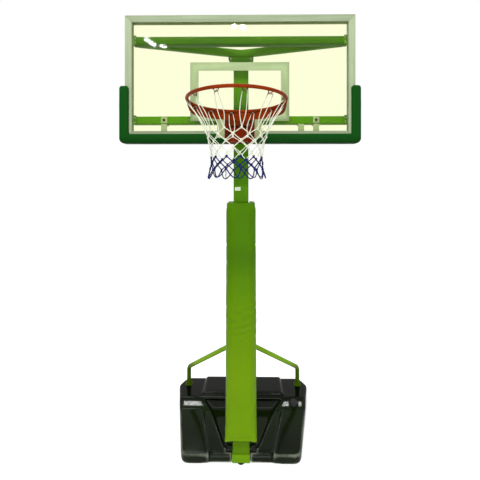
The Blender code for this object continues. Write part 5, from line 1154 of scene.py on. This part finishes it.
def weld_hook(shell, angle):
    """A short bead on each side of a hook, thinner towards its ends."""
    x, y, _ = ring_point(angle, 0.2283, 0)
    along = Vector((cos(angle), sin(angle), 0))
    for shift in (-0.0115, 0.0115):
        middle = at(x + shift * cos(angle), y + shift * sin(angle), RIM_HEIGHT - 0.0058)
        path = [middle + along * s * 0.0045 for s in (-1, -0.5, 0, 0.5, 1)]
        sweep(shell, path, lambda s: 0.0010 + 0.0017 * sin(pi * min(max(s, 0.05), 0.95)))


def weld_rim():
    """Beads at the hooks, along the back of the ring and down from it on each side."""
    steps, x, y = 24, 0.0466, -0.1475
    shell = bmesh.new()
    for number in range(HOOKS):
        weld_hook(shell, radians(HOOK_TURN + 360 / HOOKS * number))
    for sign in (-1, 1):
        turns = [radians(180 + sign * (12 + 72 * k / steps)) for k in range(steps + 1)]
        bead(shell, [at(*ring_point(turn, 0.2375, RIM_HEIGHT - 0.0072)) for turn in turns], 0.0020)
        bead(shell, [at(sign * x, y, RIM_HEIGHT - drop) for drop in (0.006, 0.042)], 0.0022)
    beads = piece("rim_welds", shell, ["rim_paint"], "rim", 60)


def dome(shell, centre, radius, height, sides=20):
    """A low round screw head with a socket, which faces the front."""
    front = Vector((0, -1, 0))
    profile = (1.0, 0.0), (1.0, 0.35), (0.93, 0.65), (0.78, 0.88), (0.55, 0.98), (0.42, 1.0), (0.40, 0.55)
    skin(shell, [
        circle_path(centre + front * height * up, front, radius * share, sides) for share, up in profile
    ])


def make_beam_ends():
    """Plates on the beams' ends, close to the beams in height."""
    half, corner = 0.029, 0.006
    shell = bmesh.new()
    nodes = []
    for level, z in zip(("lower", "upper"), BEAM_LEVELS):
        for side in ("left", "right"):
            low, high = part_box(f"{level}_beam_end_{side}")
            nodes.append(f"{level}_beam_end_{side}")
            front, back = low[1], high[1]
            rows = []
            for y, inset in ((back, 0.0), (front + 0.0012, 0.0), (front + 0.0004, 0.0004), (front, 0.0012)):
                corners = (low[0] + inset, z - half + inset), (high[0] - inset, z + half - inset)
                rows.append([(x, y, height) for x, height in rounded_box(*corners, corner)])
            skin(shell, rows)
    plates = piece("beam_end_plates", shell, ["green_paint"], "mast")
    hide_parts(*nodes)


def make_screws():
    """Two screws through each beam's end, the upper one larger."""
    shell = bmesh.new()
    for z in BEAM_LEVELS:
        for sign in (-1, 1):
            dome(shell, at(sign * 0.640, 0.0404, z + 0.012), 0.0066, 0.0036)
            dome(shell, at(sign * 0.640, 0.0404, z - 0.014), 0.0050, 0.0030)
    screws = piece("beam_screws", shell, ["zinc"], "mast")


def make_bolt_heads():
    shell = bmesh.new()
    for side in ("left", "right"):
        low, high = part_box(f"beam_bolt_{side}")
        middle = Vector(((low[0] + high[0]) / 2, low[1], (low[2] + high[2]) / 2))
        dome(shell, middle + Vector((0, -0.0003, 0)), 0.0085, 0.0046, 24)
    bolts = piece("bracket_bolt_heads", shell, ["black_steel"], "mast")


def make_label():
    """A blank label on the mast, above the pad."""
    mast_front = 0.251
    outline = rounded_box((-0.0405, 1.838), (-0.0025, 1.863), 0.0025, 5)
    shell = bmesh.new()
    depths = (mast_front - 0.0001, mast_front - 0.0004)
    skin(shell, [[at(x, y, z) for x, z in outline] for y in depths])
    label = piece("blank_label", shell, ["label_film"], "mast")


# Carried-over solids

# Nodes finished differently from their slot; the upper beam, lower pole and rim housing take darker copies
# of their paint as painted shade
OTHER_FINISHES = {
    "rail_left": "frame_upright", "rail_right": "frame_upright", "glazing_gasket": "gasket_rubber",
    "rim_housing": "housing_shaded_paint", "lower_pole": "lower_pole_shaded_paint", "upper_beam": "top_beam_shaded_paint",
    "net": "net_white",
}

# How far the edges are rounded; 0 leaves a node's edges as they are
EDGE_WIDTH = 0.0009
OTHER_WIDTHS = {
    "glass_pane": 0.0004, "target_square": 0.0, "glazing_gasket": 0.0003, "rim_spring": 0.0, "rim": 0.0007,
    "head_plate": 0.0008, "rim_housing": 0.0008, "lock_knob": 0.0012, "fill_cap": 0.0012, "foot_pad": 0.0012,
    "strut_left": 0.0008, "strut_right": 0.0008,
}


def choose_finish(name, slot):
    if name.startswith(("rail_bracket", "beam_bolt")):
        return "bracket_paint"
    if name.startswith("strut_") and slot == "bright_green_paint":
        return "strut_paint"
    return OTHER_FINISHES.get(name, slot)


def soften_tank(tank):
    """Melts the tank's edges together, as on a blown part."""
    modify(tank, "skin", "REMESH", mode="VOXEL", voxel_size=0.006, use_smooth_shade=True)
    modify(tank, "soften", "SMOOTH", factor=0.5, iterations=18)


def round_edges(node, width):
    modify(node, "flat_faces", "DECIMATE", decimate_type="DISSOLVE", angle_limit=radians(0.6))
    bevel = {"limit_method": "ANGLE", "angle_limit": radians(32), "harden_normals": True}
    modify(node, "rounded_edges", "BEVEL", width=width, segments=2, **bevel)


def dress_nodes():
    for name, node in NODES.items():
        mesh = node.data
        mesh.materials[0] = FINISHES[choose_finish(name, mesh.materials[0].name)]
        if name in ("pole_pad", "board_padding", "net") or name.startswith("pad_strap"):
            continue
        if mesh.attributes.get("custom_normal"):
            mesh.attributes.remove(mesh.attributes["custom_normal"])
        mesh.shade_smooth()
        modify(node, "weld", "WELD", merge_threshold=0.00001)
        width = OTHER_WIDTHS.get(name, EDGE_WIDTH)
        if name == "base_tank":
            soften_tank(node)
        elif width:
            round_edges(node, width)


make_camera()
FINISHES = make_finishes()
make_world()
make_floor()
make_lamps()
dress_nodes()
make_pole_pad()
make_straps()
make_edge_pad()
make_net()
weld_struts()
weld_mast()
weld_rim()
make_beam_ends()
make_screws()
make_bolt_heads()
make_label()
